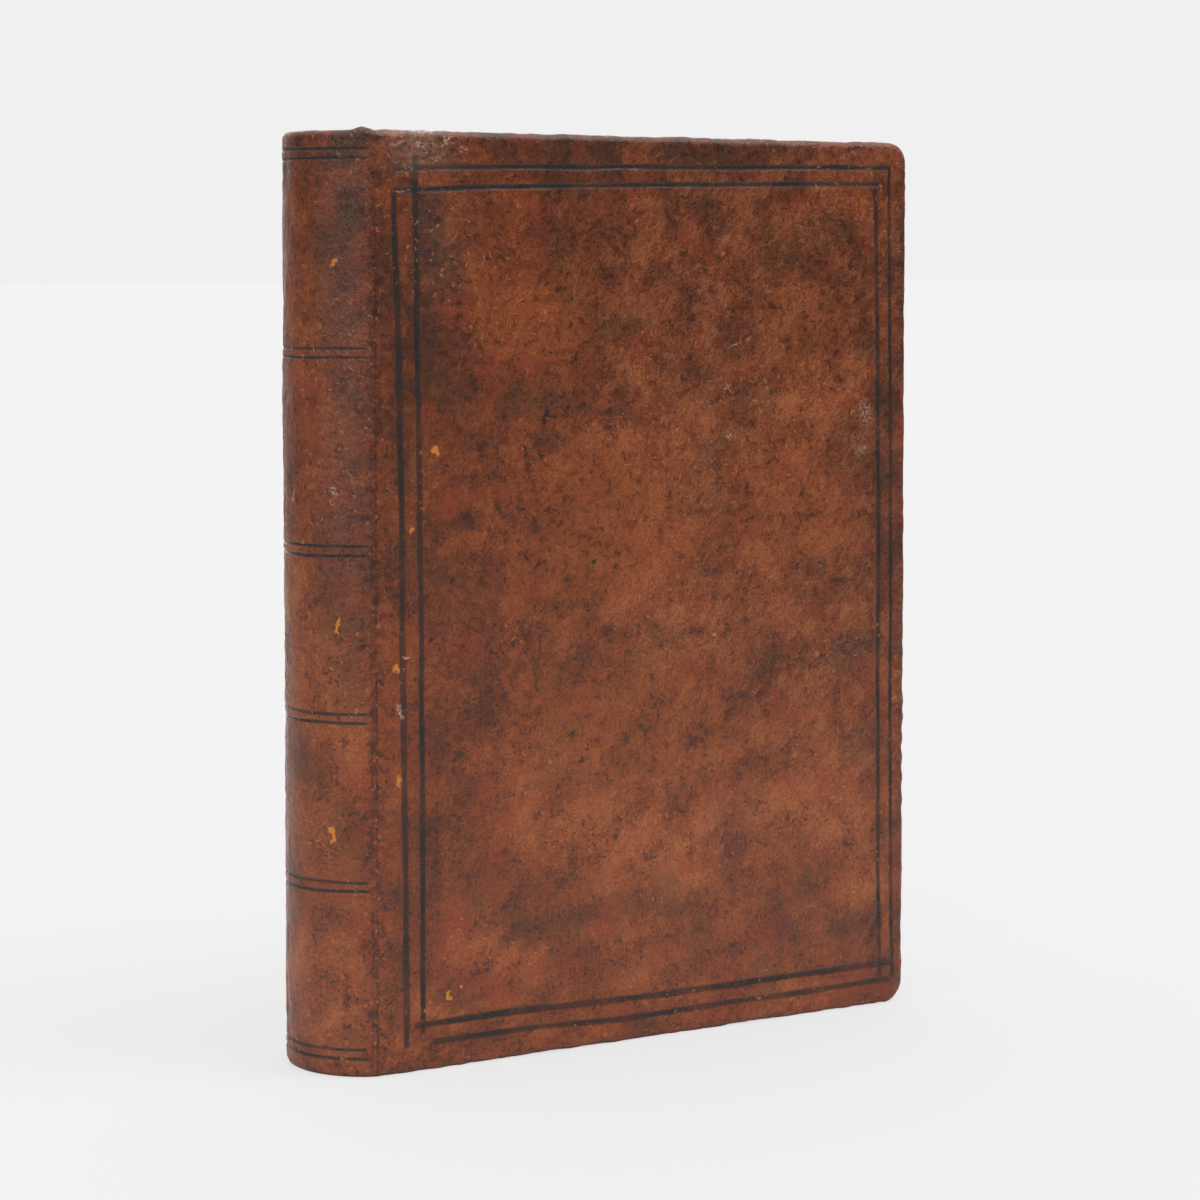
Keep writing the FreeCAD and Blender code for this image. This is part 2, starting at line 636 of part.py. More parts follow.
    def build_pastedown(self):
        """The pasted leaf of the endpaper, which dips from the turned-in leather to the bare board."""
        body = self.body("pastedown")
        sheet_sketch = self.sketch(body, "sheet", COVER_INNER)
        self.add_window(sheet_sketch, "Sizes.paste_margin", COVER_START)
        pad(body, sheet_sketch, "Sizes.paper", reverse=True)
        dip = self.sketch(body, "dip", BOARD_INNER)
        self.add_window(dip, "Sizes.turn_in_width", COVER_START)
        pad(body, dip, "Sizes.turn_in_skin", reverse=True)
        hollow = self.sketch(body, "hollow", f"({BOARD_INNER} + Sizes.paper)")
        self.add_window(hollow, "(Sizes.turn_in_width + Sizes.paper)", "0")
        pocket(body, hollow, "Sizes.turn_in_skin")

    def build(self):
        """All the pieces that swing with this cover."""
        self.build_board()
        self.build_slips()
        self.build_leather()
        self.build_blacking()
        self.build_pastedown()


def check_and_write():
    """Stops on a failed object or an unsound solid, then writes every node as a STEP file."""
    doc.recompute()
    for item in doc.Objects:
        if "Invalid" in item.State or "Error" in item.State:
            raise RuntimeError(f"{item.Name} failed: {item.State}")
    os.makedirs("parts", exist_ok=True)
    for node in nodes:
        shape = node.Shape
        if shape.isNull() or not shape.isValid() or not shape.Solids:
            raise RuntimeError(f"{node.Label} has no sound solid")
    for node in nodes:
        node.Shape.exportStep(os.path.join("parts", f"{node.Label}.step"))


def main():
    """Builds the leaves and the spine, then both covers."""
    fill_sheet()
    build_text_block()
    build_flyleaf("front_flyleaf", -1)
    build_flyleaf("back_flyleaf", 1)
    build_lining()
    for index, height in enumerate(SUPPORTS, start=1):
        build_sewing_support(index, height)
    build_sewing_thread()
    build_endband("head_endband", f"({BLOCK_HEAD} + {BAND_RADIUS})")
    build_endband("tail_endband", f"({BLOCK_TAIL} - {BAND_RADIUS})")
    build_spine_leather()
    build_spine_blacking()
    for side in ("front", "back"):
        Cover(side).build()
    check_and_write()


main()
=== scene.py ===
"""Looks of an antique calf-bound book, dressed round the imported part.

Shapes are worked out in millimetres and turned into metres when a mesh is made. One flat skin
coordinate (u, v) runs over the whole leather: u is the distance from the front joint, positive over
the front cover and negative over the spine and then the back cover, and v is the height above the
tail. The calf's pattern follows it, so it passes unbroken from spine to cover.
"""

from __future__ import annotations

import logging
import math
from dataclasses import dataclass, field
from enum import Enum

import bmesh
import bpy
import numpy as np
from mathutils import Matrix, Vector

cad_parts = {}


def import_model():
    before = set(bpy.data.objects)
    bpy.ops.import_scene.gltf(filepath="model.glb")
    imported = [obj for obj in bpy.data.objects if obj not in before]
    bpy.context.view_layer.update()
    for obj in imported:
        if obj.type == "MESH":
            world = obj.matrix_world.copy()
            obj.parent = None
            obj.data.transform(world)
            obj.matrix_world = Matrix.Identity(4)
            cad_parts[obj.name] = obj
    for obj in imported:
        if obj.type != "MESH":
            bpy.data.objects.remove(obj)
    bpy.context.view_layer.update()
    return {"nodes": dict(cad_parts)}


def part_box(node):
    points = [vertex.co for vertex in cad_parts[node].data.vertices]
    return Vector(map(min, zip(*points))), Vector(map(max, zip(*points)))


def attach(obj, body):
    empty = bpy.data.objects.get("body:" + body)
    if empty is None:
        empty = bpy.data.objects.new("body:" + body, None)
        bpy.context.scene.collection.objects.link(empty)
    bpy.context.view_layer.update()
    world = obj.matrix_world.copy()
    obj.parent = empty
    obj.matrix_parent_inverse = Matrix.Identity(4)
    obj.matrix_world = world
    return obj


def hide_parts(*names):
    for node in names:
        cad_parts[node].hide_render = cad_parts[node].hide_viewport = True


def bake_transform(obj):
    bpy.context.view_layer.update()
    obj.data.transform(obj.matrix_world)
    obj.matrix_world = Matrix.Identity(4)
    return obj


LOG = logging.getLogger("book")
MM = 0.001
SKIN_SPAN = 200.0  # millimetres of skin for one unit of the UV map
Field = np.ndarray


class Side(Enum):
    """The two covers."""

    FRONT = "front"
    BACK = "back"


class Along(Enum):
    """Which way a tooled line runs."""

    LEVEL = "level"
    UPRIGHT = "upright"


class MarkKind(Enum):
    """What has happened to the leather at a mark; some pale marks are painted highlights instead."""

    DARK = "dark"
    BLACK = "black"
    OCHRE = "ochre"
    PALE = "pale"
    RED = "red"
    ORANGE = "orange"


# small maths


def smooth(values: Field, low: float, high: float) -> Field:
    """Rises smoothly from 0 at low to 1 at high.

    Args:
        values: the numbers to map.
        low: where the rise starts.
        high: where it ends; it may be below low.

    Returns:
        The mapped numbers, 0 to 1.
    """
    t = np.clip((values - low) / (high - low), 0.0, 1.0)
    return t * t * (3.0 - 2.0 * t)


def lattice_noise(u: Field, v: Field, seed: float) -> Field:
    """Smooth value noise with a cell of one unit.

    Args:
        u: first coordinate.
        v: second coordinate.
        seed: picks another pattern.

    Returns:
        Noise from -1 to 1.
    """
    cell_u, cell_v = np.floor(u), np.floor(v)
    part_u, part_v = u - cell_u, v - cell_v
    part_u = part_u * part_u * (3.0 - 2.0 * part_u)
    part_v = part_v * part_v * (3.0 - 2.0 * part_v)

    def corner(step_u: int, step_v: int) -> Field:
        mixed = np.sin((cell_u + step_u) * 12.9898 + (cell_v + step_v) * 78.233 + seed * 37.719)
        spread = mixed * 43758.5453
        return (spread - np.floor(spread)) * 2.0 - 1.0

    low = corner(0, 0) * (1 - part_u) + corner(1, 0) * part_u
    high = corner(0, 1) * (1 - part_u) + corner(1, 1) * part_u
    return low * (1 - part_v) + high * part_v


def rough_field(u: Field, v: Field, size: tuple[float, float], seed: float, octaves: int = 3) -> Field:
    """Layered noise whose largest bumps are about size millimetres across.

    Args:
        u: first coordinate in millimetres.
        v: second coordinate in millimetres.
        size: cell size along each coordinate.
        seed: picks another pattern.
        octaves: how many layers, each half as large and half as strong.

    Returns:
        Noise of about -1 to 1.
    """
    total, weight = 0.0, 0.0
    for layer in range(octaves):
        scale = 2.0**layer
        share = 0.5**layer
        total = total + share * lattice_noise(
            u / size[0] * scale, v / size[1] * scale, seed + 11.3 * layer
        )
        weight += share
    return total / weight


def spaced(start: float, stop: float, step: float, dense: list[tuple[float, float, float]]) -> Field:
    """Grid positions from start to stop.

    Args:
        start: first position.
        stop: last position.
        step: usual distance between positions.
        dense: (centre, reach, fine step) for each place that needs a closer grid.

    Returns:
        The positions in rising order.
    """
    found = [start]
    while found[-1] < stop - 1e-6:
        here = found[-1]
        pace = step
        for centre, reach, fine in dense:
            if abs(here + fine - centre) <= reach:
                pace = min(pace, fine)
            elif here < centre - reach:
                pace = min(pace, max(centre - reach - here, fine))
        found.append(min(here + pace, stop))
    return np.array(found)


def surface_normals(points: Field) -> Field:
    """Unit normals of a grid of points, from its own differences."""
    across = np.gradient(points, axis=1)
    along = np.gradient(points, axis=0)
    normal = np.cross(across, along)
    length = np.linalg.norm(normal, axis=2, keepdims=True)
    return normal / np.maximum(length, 1e-9)


def srgb(code: str) -> tuple[float, float, float, float]:
    """A six-figure sRGB hex colour as linear RGBA."""
    found = []
    for start in (0, 2, 4):
        value = int(code[start : start + 2], 16) / 255.0
        found.append(value / 12.92 if value <= 0.04045 else ((value + 0.055) / 1.055) ** 2.4)
    return (found[0], found[1], found[2], 1.0)


# meshes


def grid_object(
    name: str,
    points: Field,
    material: bpy.types.Material,
    uv: Field | None = None,
    attributes: dict[str, Field] | None = None,
    flipped: bool = False,
) -> bpy.types.Object:
    """A smooth sheet from a grid of points.

    Args:
        name: name of the piece.
        points: rows by columns by 3, in millimetres in the row frame.
        material: its only material.
        uv: rows by columns by 2 for the UV map, or None for the grid's own 0 to 1.
        attributes: vertex attributes by name, each rows by columns.
        flipped: turns the faces over.

    Returns:
        The new object, linked to the scene.
    """
    rows, columns = points.shape[:2]
    shape = bmesh.new()
    bmesh.ops.create_grid(shape, x_segments=columns - 1, y_segments=rows - 1, size=0.5)
    if flipped:
        bmesh.ops.reverse_faces(shape, faces=shape.faces[:])
    for face in shape.faces:
        face.smooth = True
    mesh = bpy.data.meshes.new(name)
    shape.to_mesh(mesh)
    shape.free()
    count = len(mesh.vertices)
    flat = np.zeros(count * 3, np.float32)
    mesh.vertices.foreach_get("co", flat)
    flat = flat.reshape(-1, 3)
    column = np.rint((flat[:, 0] + 0.5) * (columns - 1)).astype(int)
    row = np.rint((flat[:, 1] + 0.5) * (rows - 1)).astype(int)
    placed = points[row, column] * MM
    mesh.vertices.foreach_set("co", placed.astype(np.float32).ravel())
    if uv is None:
        uv = np.stack([column / (columns - 1), row / (rows - 1)], axis=1)
    else:
        uv = uv[row, column]
    loops = np.zeros(len(mesh.loops), np.int32)
    mesh.loops.foreach_get("vertex_index", loops)
    layer = mesh.uv_layers.new(name="UVMap")
    layer.data.foreach_set("uv", uv[loops].astype(np.float32).ravel())
    for key, values in (attributes or {}).items():
        made = mesh.attributes.new(key, "FLOAT", "POINT")
        made.data.foreach_set("value", values[row, column].astype(np.float32))
    mesh.materials.append(material)
    mesh.update()
    piece = bpy.data.objects.new(name, mesh)
    bpy.context.scene.collection.objects.link(piece)
    LOG.info("%s: %d faces", name, len(mesh.polygons))
    return piece


# shader nodes


@dataclass
class Shader:
    """A material's node tree, with one short call for each kind of node.

    Attributes:
        material: the material that is being built.
    """

    material: bpy.types.Material

    @classmethod
    def new(cls, name: str) -> Shader:
        """An empty material."""
        material = bpy.data.materials.new(name)
        material.use_nodes = True
        material.node_tree.nodes.clear()
        return cls(material)

    def add(self, kind: str, inputs: dict | None = None, **settings) -> bpy.types.Node:
        """Adds a node.

        Args:
            kind: Blender's node type.
            inputs: socket name or number to a plain value or to another node's output.
            **settings: attributes of the node itself.

        Returns:
            The node.
        """
        node = self.material.node_tree.nodes.new(kind)
        for key, value in settings.items():
            setattr(node, key, value)
        for key, value in (inputs or {}).items():
            if isinstance(value, bpy.types.NodeSocket):
                self.material.node_tree.links.new(value, node.inputs[key])
            else:
                node.inputs[key].default_value = value
        return node

    def math(self, operation: str, *values, clamp: bool = False) -> bpy.types.NodeSocket:
        """A Math node on one to three values."""
        inputs = dict(enumerate(values))
        return self.add("ShaderNodeMath", inputs, operation=operation, use_clamp=clamp).outputs[0]

    def ramp(self, value, low: float, high: float, to_low: float = 0.0, to_high: float = 1.0):
        """Maps value smoothly from one range to another."""
        inputs = {
            "Value": value,
            "From Min": low,
            "From Max": high,
            "To Min": to_low,
            "To Max": to_high,
        }
        node = self.add("ShaderNodeMapRange", inputs, interpolation_type="SMOOTHSTEP")
        return node.outputs["Result"]

    def colours(self, value, stops: list[tuple[float, str]]):
        """A colour ramp from (place, hex colour) stops."""
        node = self.add("ShaderNodeValToRGB", {"Fac": value})
        elements = node.color_ramp.elements
        while len(elements) < len(stops):
            elements.new(1.0)
        for element, (place, code) in zip(elements, stops):
            element.position = place
            element.color = srgb(code)
        return node.outputs["Color"]

    def blend(self, share, first, second, mode: str = "MIX"):
        """Mixes two colours; hex codes are turned into colours."""
        node = self.add("ShaderNodeMix", data_type="RGBA", blend_type=mode)
        for key, kind, value in (("Factor", "VALUE", share), ("A", "RGBA", first), ("B", "RGBA", second)):
            socket = [s for s in node.inputs if s.name == key and s.type == kind][0]
            if isinstance(value, str):
                value = srgb(value)
            if isinstance(value, bpy.types.NodeSocket):
                self.material.node_tree.links.new(value, socket)
            else:
                socket.default_value = value
        return [s for s in node.outputs if s.type == "RGBA"][0]

    def noise(self, vector, size: float, detail: float = 3.0, rough: float = 0.55, bend: float = 0.0):
        """Noise whose cells are about size units of the vector across."""
        inputs = {
            "Vector": vector,
            "Scale": 1.0 / size,
            "Detail": detail,
            "Roughness": rough,
            "Distortion": bend,
        }
        return self.add("ShaderNodeTexNoise", inputs, noise_dimensions="3D").outputs["Fac"]

    def flat_noise(self, vector, size: float, detail: float, rough: float, output: str = "Fac"):
        """Two-dimensional noise on the skin, its cells about size millimetres across."""
        inputs = {"Vector": vector, "Scale": 1.0 / size, "Detail": detail, "Roughness": rough}
        return self.add("ShaderNodeTexNoise", inputs, noise_dimensions="2D").outputs[output]

    def cells(self, vector, size: float, feature: str = "F1", output: str = "Distance"):
        """Voronoi cells about size units across."""
        inputs = {"Vector": vector, "Scale": 1.0 / size}
        return self.add("ShaderNodeTexVoronoi", inputs, feature=feature).outputs[output]

    def attribute(self, name: str):
        """A vertex attribute's value."""
        return self.add("ShaderNodeAttribute", attribute_name=name).outputs["Fac"]

    def scaled(self, vector, factors: tuple[float, float, float], turn: float = 0.0):
        """The vector turned about Z and multiplied along each axis."""
        inputs = {"Vector": vector, "Rotation": (0.0, 0.0, turn)}
        turned = self.add("ShaderNodeMapping", inputs, vector_type="POINT").outputs["Vector"]
        inputs = {0: turned, 1: factors}
        return self.add("ShaderNodeVectorMath", inputs, operation="MULTIPLY").outputs["Vector"]

    def skin(self):
        """The flat skin coordinate in millimetres, from the UV map."""
        uv = self.add("ShaderNodeUVMap", uv_map="UVMap").outputs["UV"]
        inputs = {0: uv, 1: (SKIN_SPAN, SKIN_SPAN, 0.0)}
        return self.add("ShaderNodeVectorMath", inputs, operation="MULTIPLY").outputs["Vector"]

    def place(self):
        """Object coordinates in millimetres."""
        coordinate = self.add("ShaderNodeTexCoord").outputs["Object"]
        inputs = {0: coordinate, 1: (1000.0, 1000.0, 1000.0)}
        return self.add("ShaderNodeVectorMath", inputs, operation="MULTIPLY").outputs["Vector"]

    def finish(self, colour, roughness, height, relief: float, **plain) -> bpy.types.Material:
        """Wires the Principled shader.

        Args:
            colour: base colour socket.
            roughness: roughness socket or number.
            height: bump height socket, 0 to 1.
            relief: height of the bump in millimetres.
            **plain: plain numbers for other sockets, by name with _ for a space.

        Returns:
            The finished material.
        """
        bump = self.add(
            "ShaderNodeBump", {"Height": height, "Distance": relief * MM, "Strength": 1.0}
        )
        inputs = {"Base Color": colour, "Roughness": roughness, "Normal": bump.outputs["Normal"]}
        principled = self.add("ShaderNodeBsdfPrincipled", inputs)
        for key, value in plain.items():
            principled.inputs[key.replace("_", " ")].default_value = value
        self.add("ShaderNodeOutputMaterial", {"Surface": principled.outputs["BSDF"]})
        return self.material


# finishes


@dataclass(frozen=True)
class Mark:
    """One stained patch, chip or scuff on the leather, or a painted highlight.

    Attributes:
        kind: what it looks like.
        u: skin coordinate of its middle, in millimetres.
        v: height of its middle, in millimetres.
        wide: half its size along its own length, in millimetres.
        high: half its size across, in millimetres.
        turn: turn of its length from level, in degrees.
        strength: 0 to 1.
    """

    kind: MarkKind
    u: float
    v: float
    wide: float
    high: float
    turn: float = 0.0
    strength: float = 1.0


MARKS = [
    # dark blots of the front cover, from head to tail
    Mark(MarkKind.DARK, 63.1, 182.6, 3.5, 2.2, 0, 0.35),
    Mark(MarkKind.DARK, 88.5, 180.1, 3.0, 1.8, 0, 0.45),
    Mark(MarkKind.DARK, 94.0, 179.5, 1.6, 1.2, 0, 0.55),
    Mark(MarkKind.DARK, 13.0, 178.0, 5.0, 9.0, 0, 0.75),
    Mark(MarkKind.DARK, 17.5, 172.0, 4.5, 6.5, -20, 0.75),
    Mark(MarkKind.DARK, 13.0, 161.0, 3.0, 7.0, 0, 0.5),
    Mark(MarkKind.DARK, 24.0, 182.5, 5.0, 3.0, 0, 0.35),
    Mark(MarkKind.DARK, 84.1, 164.3, 3.2, 3.6, 0, 0.5),
    Mark(MarkKind.DARK, 20.8, 153.2, 4.5, 3.5, 20, 0.55),
    Mark(MarkKind.DARK, 92.0, 143.5, 4.0, 3.2, 0, 0.4),
    Mark(MarkKind.DARK, 86.0, 131.0, 7.0, 4.0, -20, 0.4),
    Mark(MarkKind.DARK, 41.0, 133.0, 6.0, 4.0, 10, 0.35),
    Mark(MarkKind.DARK, 26.0, 133.5, 4.5, 1.6, 10, 0.6),
    Mark(MarkKind.DARK, 22.5, 116.5, 4.6, 2.4, -15, 0.85),
    Mark(MarkKind.DARK, 31.2, 118.4, 3.4, 1.5, -60, 0.75),
    Mark(MarkKind.DARK, 84.1, 103.2, 4.2, 2.4, 0, 0.55),
    Mark(MarkKind.DARK, 114.3, 103.1, 5.5, 3.4, 15, 0.6),
    Mark(MarkKind.DARK, 110.0, 97.0, 5.0, 3.0, 0, 0.4),
    Mark(MarkKind.DARK, 57.6, 90.8, 1.9, 2.4, 0, 0.9),
    Mark(MarkKind.DARK, 36.8, 92.6, 3.2, 3.8, -30, 0.6),
    Mark(MarkKind.DARK, 122.2, 84.4, 8.0, 5.0, 10, 0.85),
    Mark(MarkKind.DARK, 30.0, 84.0, 10.0, 3.5, 15, 0.3),
    Mark(MarkKind.DARK, 78.7, 65.9, 2.6, 2.4, 0, 0.7),
    Mark(MarkKind.DARK, 75.5, 51.2, 2.8, 2.8, 0, 0.55),
    Mark(MarkKind.DARK, 90.5, 40.0, 3.6, 3.0, 0, 0.5),
    Mark(MarkKind.DARK, 88.5, 35.0, 3.6, 3.6, 0, 0.4),
    Mark(MarkKind.DARK, 48.0, 42.4, 1.6, 3.6, -10, 0.6),
    Mark(MarkKind.DARK, 33.0, 27.4, 6.0, 1.5, 24, 0.75),
    Mark(MarkKind.DARK, 102.5, 27.8, 3.6, 3.0, 0, 0.55),
    Mark(MarkKind.DARK, 104.0, 22.0, 4.5, 3.5, 0, 0.4),
    Mark(MarkKind.BLACK, 40.1, 88.5, 0.4, 5.6, -2, 0.45),
    # the spine's darker strip beside the joint, and its dark pits
    Mark(MarkKind.DARK, -4.5, 122.0, 3.0, 15.0, 0, 0.3),
    Mark(MarkKind.DARK, -6.9, 26.9, 3.4, 1.0, 0, 0.5),
    Mark(MarkKind.DARK, -5.9, 18.7, 0.8, 1.3, 0, 0.8),
    Mark(MarkKind.DARK, -26.5, 12.0, 1.8, 1.1, 0, 0.7),
    Mark(MarkKind.DARK, 137.6, 168.0, 1.8, 22.0, 0, 0.45),
    Mark(MarkKind.DARK, 137.6, 108.0, 1.8, 13.0, 0, 0.5),
    Mark(MarkKind.DARK, 100.0, 196.6, 30.0, 1.6, 0, 0.4),
    Mark(MarkKind.DARK, 66.0, 4.0, 6.0, 2.6, 0, 0.5),
    # small black dots and the star-shaped nick
    Mark(MarkKind.BLACK, 53.7, 107.1, 0.75, 0.6, 0, 0.9),
    Mark(MarkKind.BLACK, 17.9, 104.5, 0.45, 0.5, 0, 0.9),
    Mark(MarkKind.BLACK, 12.9, 92.4, 1.1, 0.8, 0, 0.9),
    Mark(MarkKind.BLACK, 49.8, 58.3, 0.7, 0.7, 0, 0.7),
    Mark(MarkKind.BLACK, 29.5, 57.4, 0.8, 0.7, 0, 0.6),
    Mark(MarkKind.BLACK, 41.5, 139.6, 1.9, 0.8, 55, 1.0),
    Mark(MarkKind.BLACK, 42.3, 139.4, 1.8, 0.7, -10, 1.0),
    Mark(MarkKind.BLACK, 41.2, 138.2, 1.7, 0.6, 95, 0.9),
    Mark(MarkKind.BLACK, 36.5, 131.5, 0.55, 1.5, -10, 0.8),
    Mark(MarkKind.BLACK, 39.8, 131.2, 0.55, 1.4, 8, 0.8),
    # chips through to the ochre of the raw skin
    Mark(MarkKind.OCHRE, 14.5, 132.5, 1.05, 1.0, 0, 1.0),
    Mark(MarkKind.OCHRE, 8.4, 115.7, 0.85, 0.8, 0, 1.0),
    Mark(MarkKind.OCHRE, 4.8, 86.5, 0.7, 1.2, 0, 1.0),
    Mark(MarkKind.OCHRE, 5.3, 62.7, 0.6, 1.5, 0, 0.9),
    Mark(MarkKind.OCHRE, 17.4, 15.7, 0.6, 1.4, 0, 1.0),
    Mark(MarkKind.OCHRE, 20.4, 17.4, 0.5, 0.5, 0, 0.8),
    Mark(MarkKind.OCHRE, -27.3, 99.6, 0.8, 2.4, 0, 0.8),
    Mark(MarkKind.OCHRE, -20.9, 123.0, 0.5, 1.6, 0, 0.8),
    Mark(MarkKind.OCHRE, -7.9, 95.8, 0.5, 2.2, 0, 0.9),
    Mark(MarkKind.OCHRE, -9.5, 51.7, 0.55, 2.2, 0, 1.0),
    Mark(MarkKind.OCHRE, -8.4, 172.4, 1.1, 0.9, 0, 0.8),
    # pale scuffs, scratches and specks, and painted highlights at the head
    Mark(MarkKind.PALE, 5.8, 77.6, 0.8, 1.7, 25, 1.0),
    Mark(MarkKind.PALE, -9.0, 124.5, 0.7, 1.3, 25, 0.9),
    Mark(MarkKind.PALE, 91.0, 154.3, 1.8, 0.35, 25, 0.6),
    Mark(MarkKind.PALE, 94.5, 155.2, 0.8, 0.4, -30, 0.7),
    Mark(MarkKind.PALE, 88.7, 144.1, 0.4, 2.0, -25, 0.5),
    Mark(MarkKind.PALE, 89.3, 133.7, 0.5, 1.5, 0, 0.7),
    Mark(MarkKind.PALE, 126.8, 138.0, 2.2, 3.4, 20, 0.45),
    Mark(MarkKind.PALE, 126.0, 129.4, 2.4, 1.0, 10, 0.55),
    Mark(MarkKind.PALE, 85.7, 89.3, 0.5, 0.5, 0, 1.0),
    Mark(MarkKind.PALE, 96.4, 75.0, 0.45, 0.45, 0, 1.0),
    Mark(MarkKind.PALE, 7.2, 89.1, 0.4, 0.4, 0, 1.0),
    Mark(MarkKind.PALE, 108.5, 83.5, 1.6, 0.25, 55, 0.6),
    # painted highlights: thin pale streaks standing for glints on the crumpled leather at the head by the
    # joint
    Mark(MarkKind.PALE, 5.5, 197.3, 2.2, 0.45, 12, 0.8),
    Mark(MarkKind.PALE, 10.5, 197.2, 2.4, 0.8, -18, 0.9),
    Mark(MarkKind.PALE, 17.0, 197.9, 2.4, 0.55, 38, 1.0),
    Mark(MarkKind.PALE, 15.0, 194.6, 2.6, 0.5, 32, 0.6),
    Mark(MarkKind.PALE, 21.0, 196.4, 1.6, 0.35, 30, 0.6),
    Mark(MarkKind.PALE, 6.5, 187.4, 2.6, 0.30, 4, 0.6),
    Mark(MarkKind.PALE, 8.0, 192.2, 2.0, 0.30, 4, 0.6),
    # warmer patches
    Mark(MarkKind.ORANGE, 63.8, 107.1, 6.0, 5.0, 0, 0.55),
    Mark(MarkKind.ORANGE, 60.0, 115.0, 26.0, 20.0, 0, 0.45),
    Mark(MarkKind.ORANGE, 105.0, 118.0, 18.0, 18.0, 0, 0.35),
    Mark(MarkKind.ORANGE, 62.0, 72.0, 30.0, 16.0, 0, 0.35),
    Mark(MarkKind.ORANGE, 40.0, 160.0, 16.0, 9.0, 0, 0.4),
    Mark(MarkKind.ORANGE, 110.0, 160.0, 14.0, 9.0, 0, 0.3),
    Mark(MarkKind.ORANGE, -27.0, 118.0, 3.0, 20.0, 0, 0.35),
    Mark(MarkKind.RED, 19.9, 162.0, 6.0, 3.6, 0, 0.6),
    Mark(MarkKind.RED, 19.1, 30.8, 5.0, 4.5, 0, 0.6),
    Mark(MarkKind.RED, 17.5, 121.0, 4.5, 3.5, 0, 0.6),
    Mark(MarkKind.RED, 137.8, 134.6, 1.7, 9.0, 0, 1.0),
    Mark(MarkKind.RED, 137.5, 112.0, 1.0, 6.0, 0, 0.8),
    Mark(MarkKind.RED, 128.0, 5.0, 9.0, 5.0, 10, 0.5),
    Mark(MarkKind.RED, -17.0, 142.0, 8.0, 12.0, 0, 0.35),
    Mark(MarkKind.RED, 133.0, 60.0, 4.0, 16.0, 0, 0.25),
]


@dataclass(frozen=True)
class CalfFinish:
    """Colours of old red-brown calf, as sRGB hex codes.

    Attributes:
        tones: from darkest to palest, with their places on the tone scale.
        olive: greenish brown drift.
        red: red drift where the surface has rubbed.
        stain_and_crease_shade: dark blots and pores, and painted shade in the joint's crease.
        grime: old dirt by the joint.
        ink: black of tooled lines and dots.
        ochre: raw skin in a chip.
        pale: scuffed fibres, and painted highlights on the crumpled patch at the head and down the spine.
        fleck: small raised grains, and painted highlights along the worn edges.
        orange: warm patches.
    """

    tones: tuple[tuple[float, str], ...] = (
        (0.37, "4c240f"),
        (0.45, "673014"),
        (0.50, "783918"),
        (0.55, "85421e"),
        (0.63, "98532b"),
    )
    olive: str = "4c2f15"
    red: str = "7d3219"
    stain_and_crease_shade: str = "321b15"
    grime: str = "3c2214"
    ink: str = "191413"
    ochre: str = "bf7426"
    pale: str = "b8927a"
    fleck: str = "9c6038"
    orange: str = "924817"


def spot_group() -> bpy.types.NodeTree:
    """A node group that gives 1 in the middle of an oval spot and 0 outside it."""
    group = bpy.data.node_groups.new("leather_spot", "ShaderNodeTree")
    face = group.interface
    for name, kind in (
        ("Skin", "NodeSocketVector"),
        ("Middle", "NodeSocketVector"),
        ("Turn", "NodeSocketFloat"),
        ("Stretch", "NodeSocketVector"),
        ("Strength", "NodeSocketFloat"),
    ):
        face.new_socket(name, in_out="INPUT", socket_type=kind)
    face.new_socket("Mask", in_out="OUTPUT", socket_type="NodeSocketFloat")
    nodes, links = group.nodes, group.links
    entry = nodes.new("NodeGroupInput")
    exit_node = nodes.new("NodeGroupOutput")
    away = nodes.new("ShaderNodeVectorMath")
    away.operation = "SUBTRACT"
    links.new(entry.outputs["Skin"], away.inputs[0])
    links.new(entry.outputs["Middle"], away.inputs[1])
    turn = nodes.new("ShaderNodeVectorRotate")
    turn.rotation_type = "Z_AXIS"
    links.new(away.outputs[0], turn.inputs["Vector"])
    links.new(entry.outputs["Turn"], turn.inputs["Angle"])
    stretch = nodes.new("ShaderNodeVectorMath")
    stretch.operation = "MULTIPLY"
    links.new(turn.outputs[0], stretch.inputs[0])
    links.new(entry.outputs["Stretch"], stretch.inputs[1])
    length = nodes.new("ShaderNodeVectorMath")
    length.operation = "LENGTH"
    links.new(stretch.outputs[0], length.inputs[0])
    fade = nodes.new("ShaderNodeMapRange")
    fade.interpolation_type = "SMOOTHSTEP"
    fade.inputs["From Min"].default_value = 1.25
    fade.inputs["From Max"].default_value = 0.35
    links.new(length.outputs["Value"], fade.inputs["Value"])
    links.new(entry.outputs["Strength"], fade.inputs["To Max"])
    links.new(fade.outputs["Result"], exit_node.inputs["Mask"])
    return group


def mark_mask(shader: Shader, group: bpy.types.NodeTree, skin, kind: MarkKind):
    """The mask of all crisp marks of one kind.

    Args:
        shader: the material being built.
        group: the spot group.
        skin: skin coordinate, already wavered.
        kind: which marks.

    Returns:
        A socket that is 0 away from them.
    """
    total = None
    for mark in (m for m in MARKS if m.kind is kind):
        node = shader.add("ShaderNodeGroup", node_tree=group)
        shader.material.node_tree.links.new(skin, node.inputs["Skin"])
        node.inputs["Middle"].default_value = (mark.u, mark.v, 0.0)
        node.inputs["Turn"].default_value = -math.radians(mark.turn)
        node.inputs["Stretch"].default_value = (1.0 / mark.wide, 1.0 / mark.high, 0.0)
        node.inputs["Strength"].default_value = mark.strength
        mask = node.outputs["Mask"]
        total = mask if total is None else shader.math("MAXIMUM", total, mask)
    return total


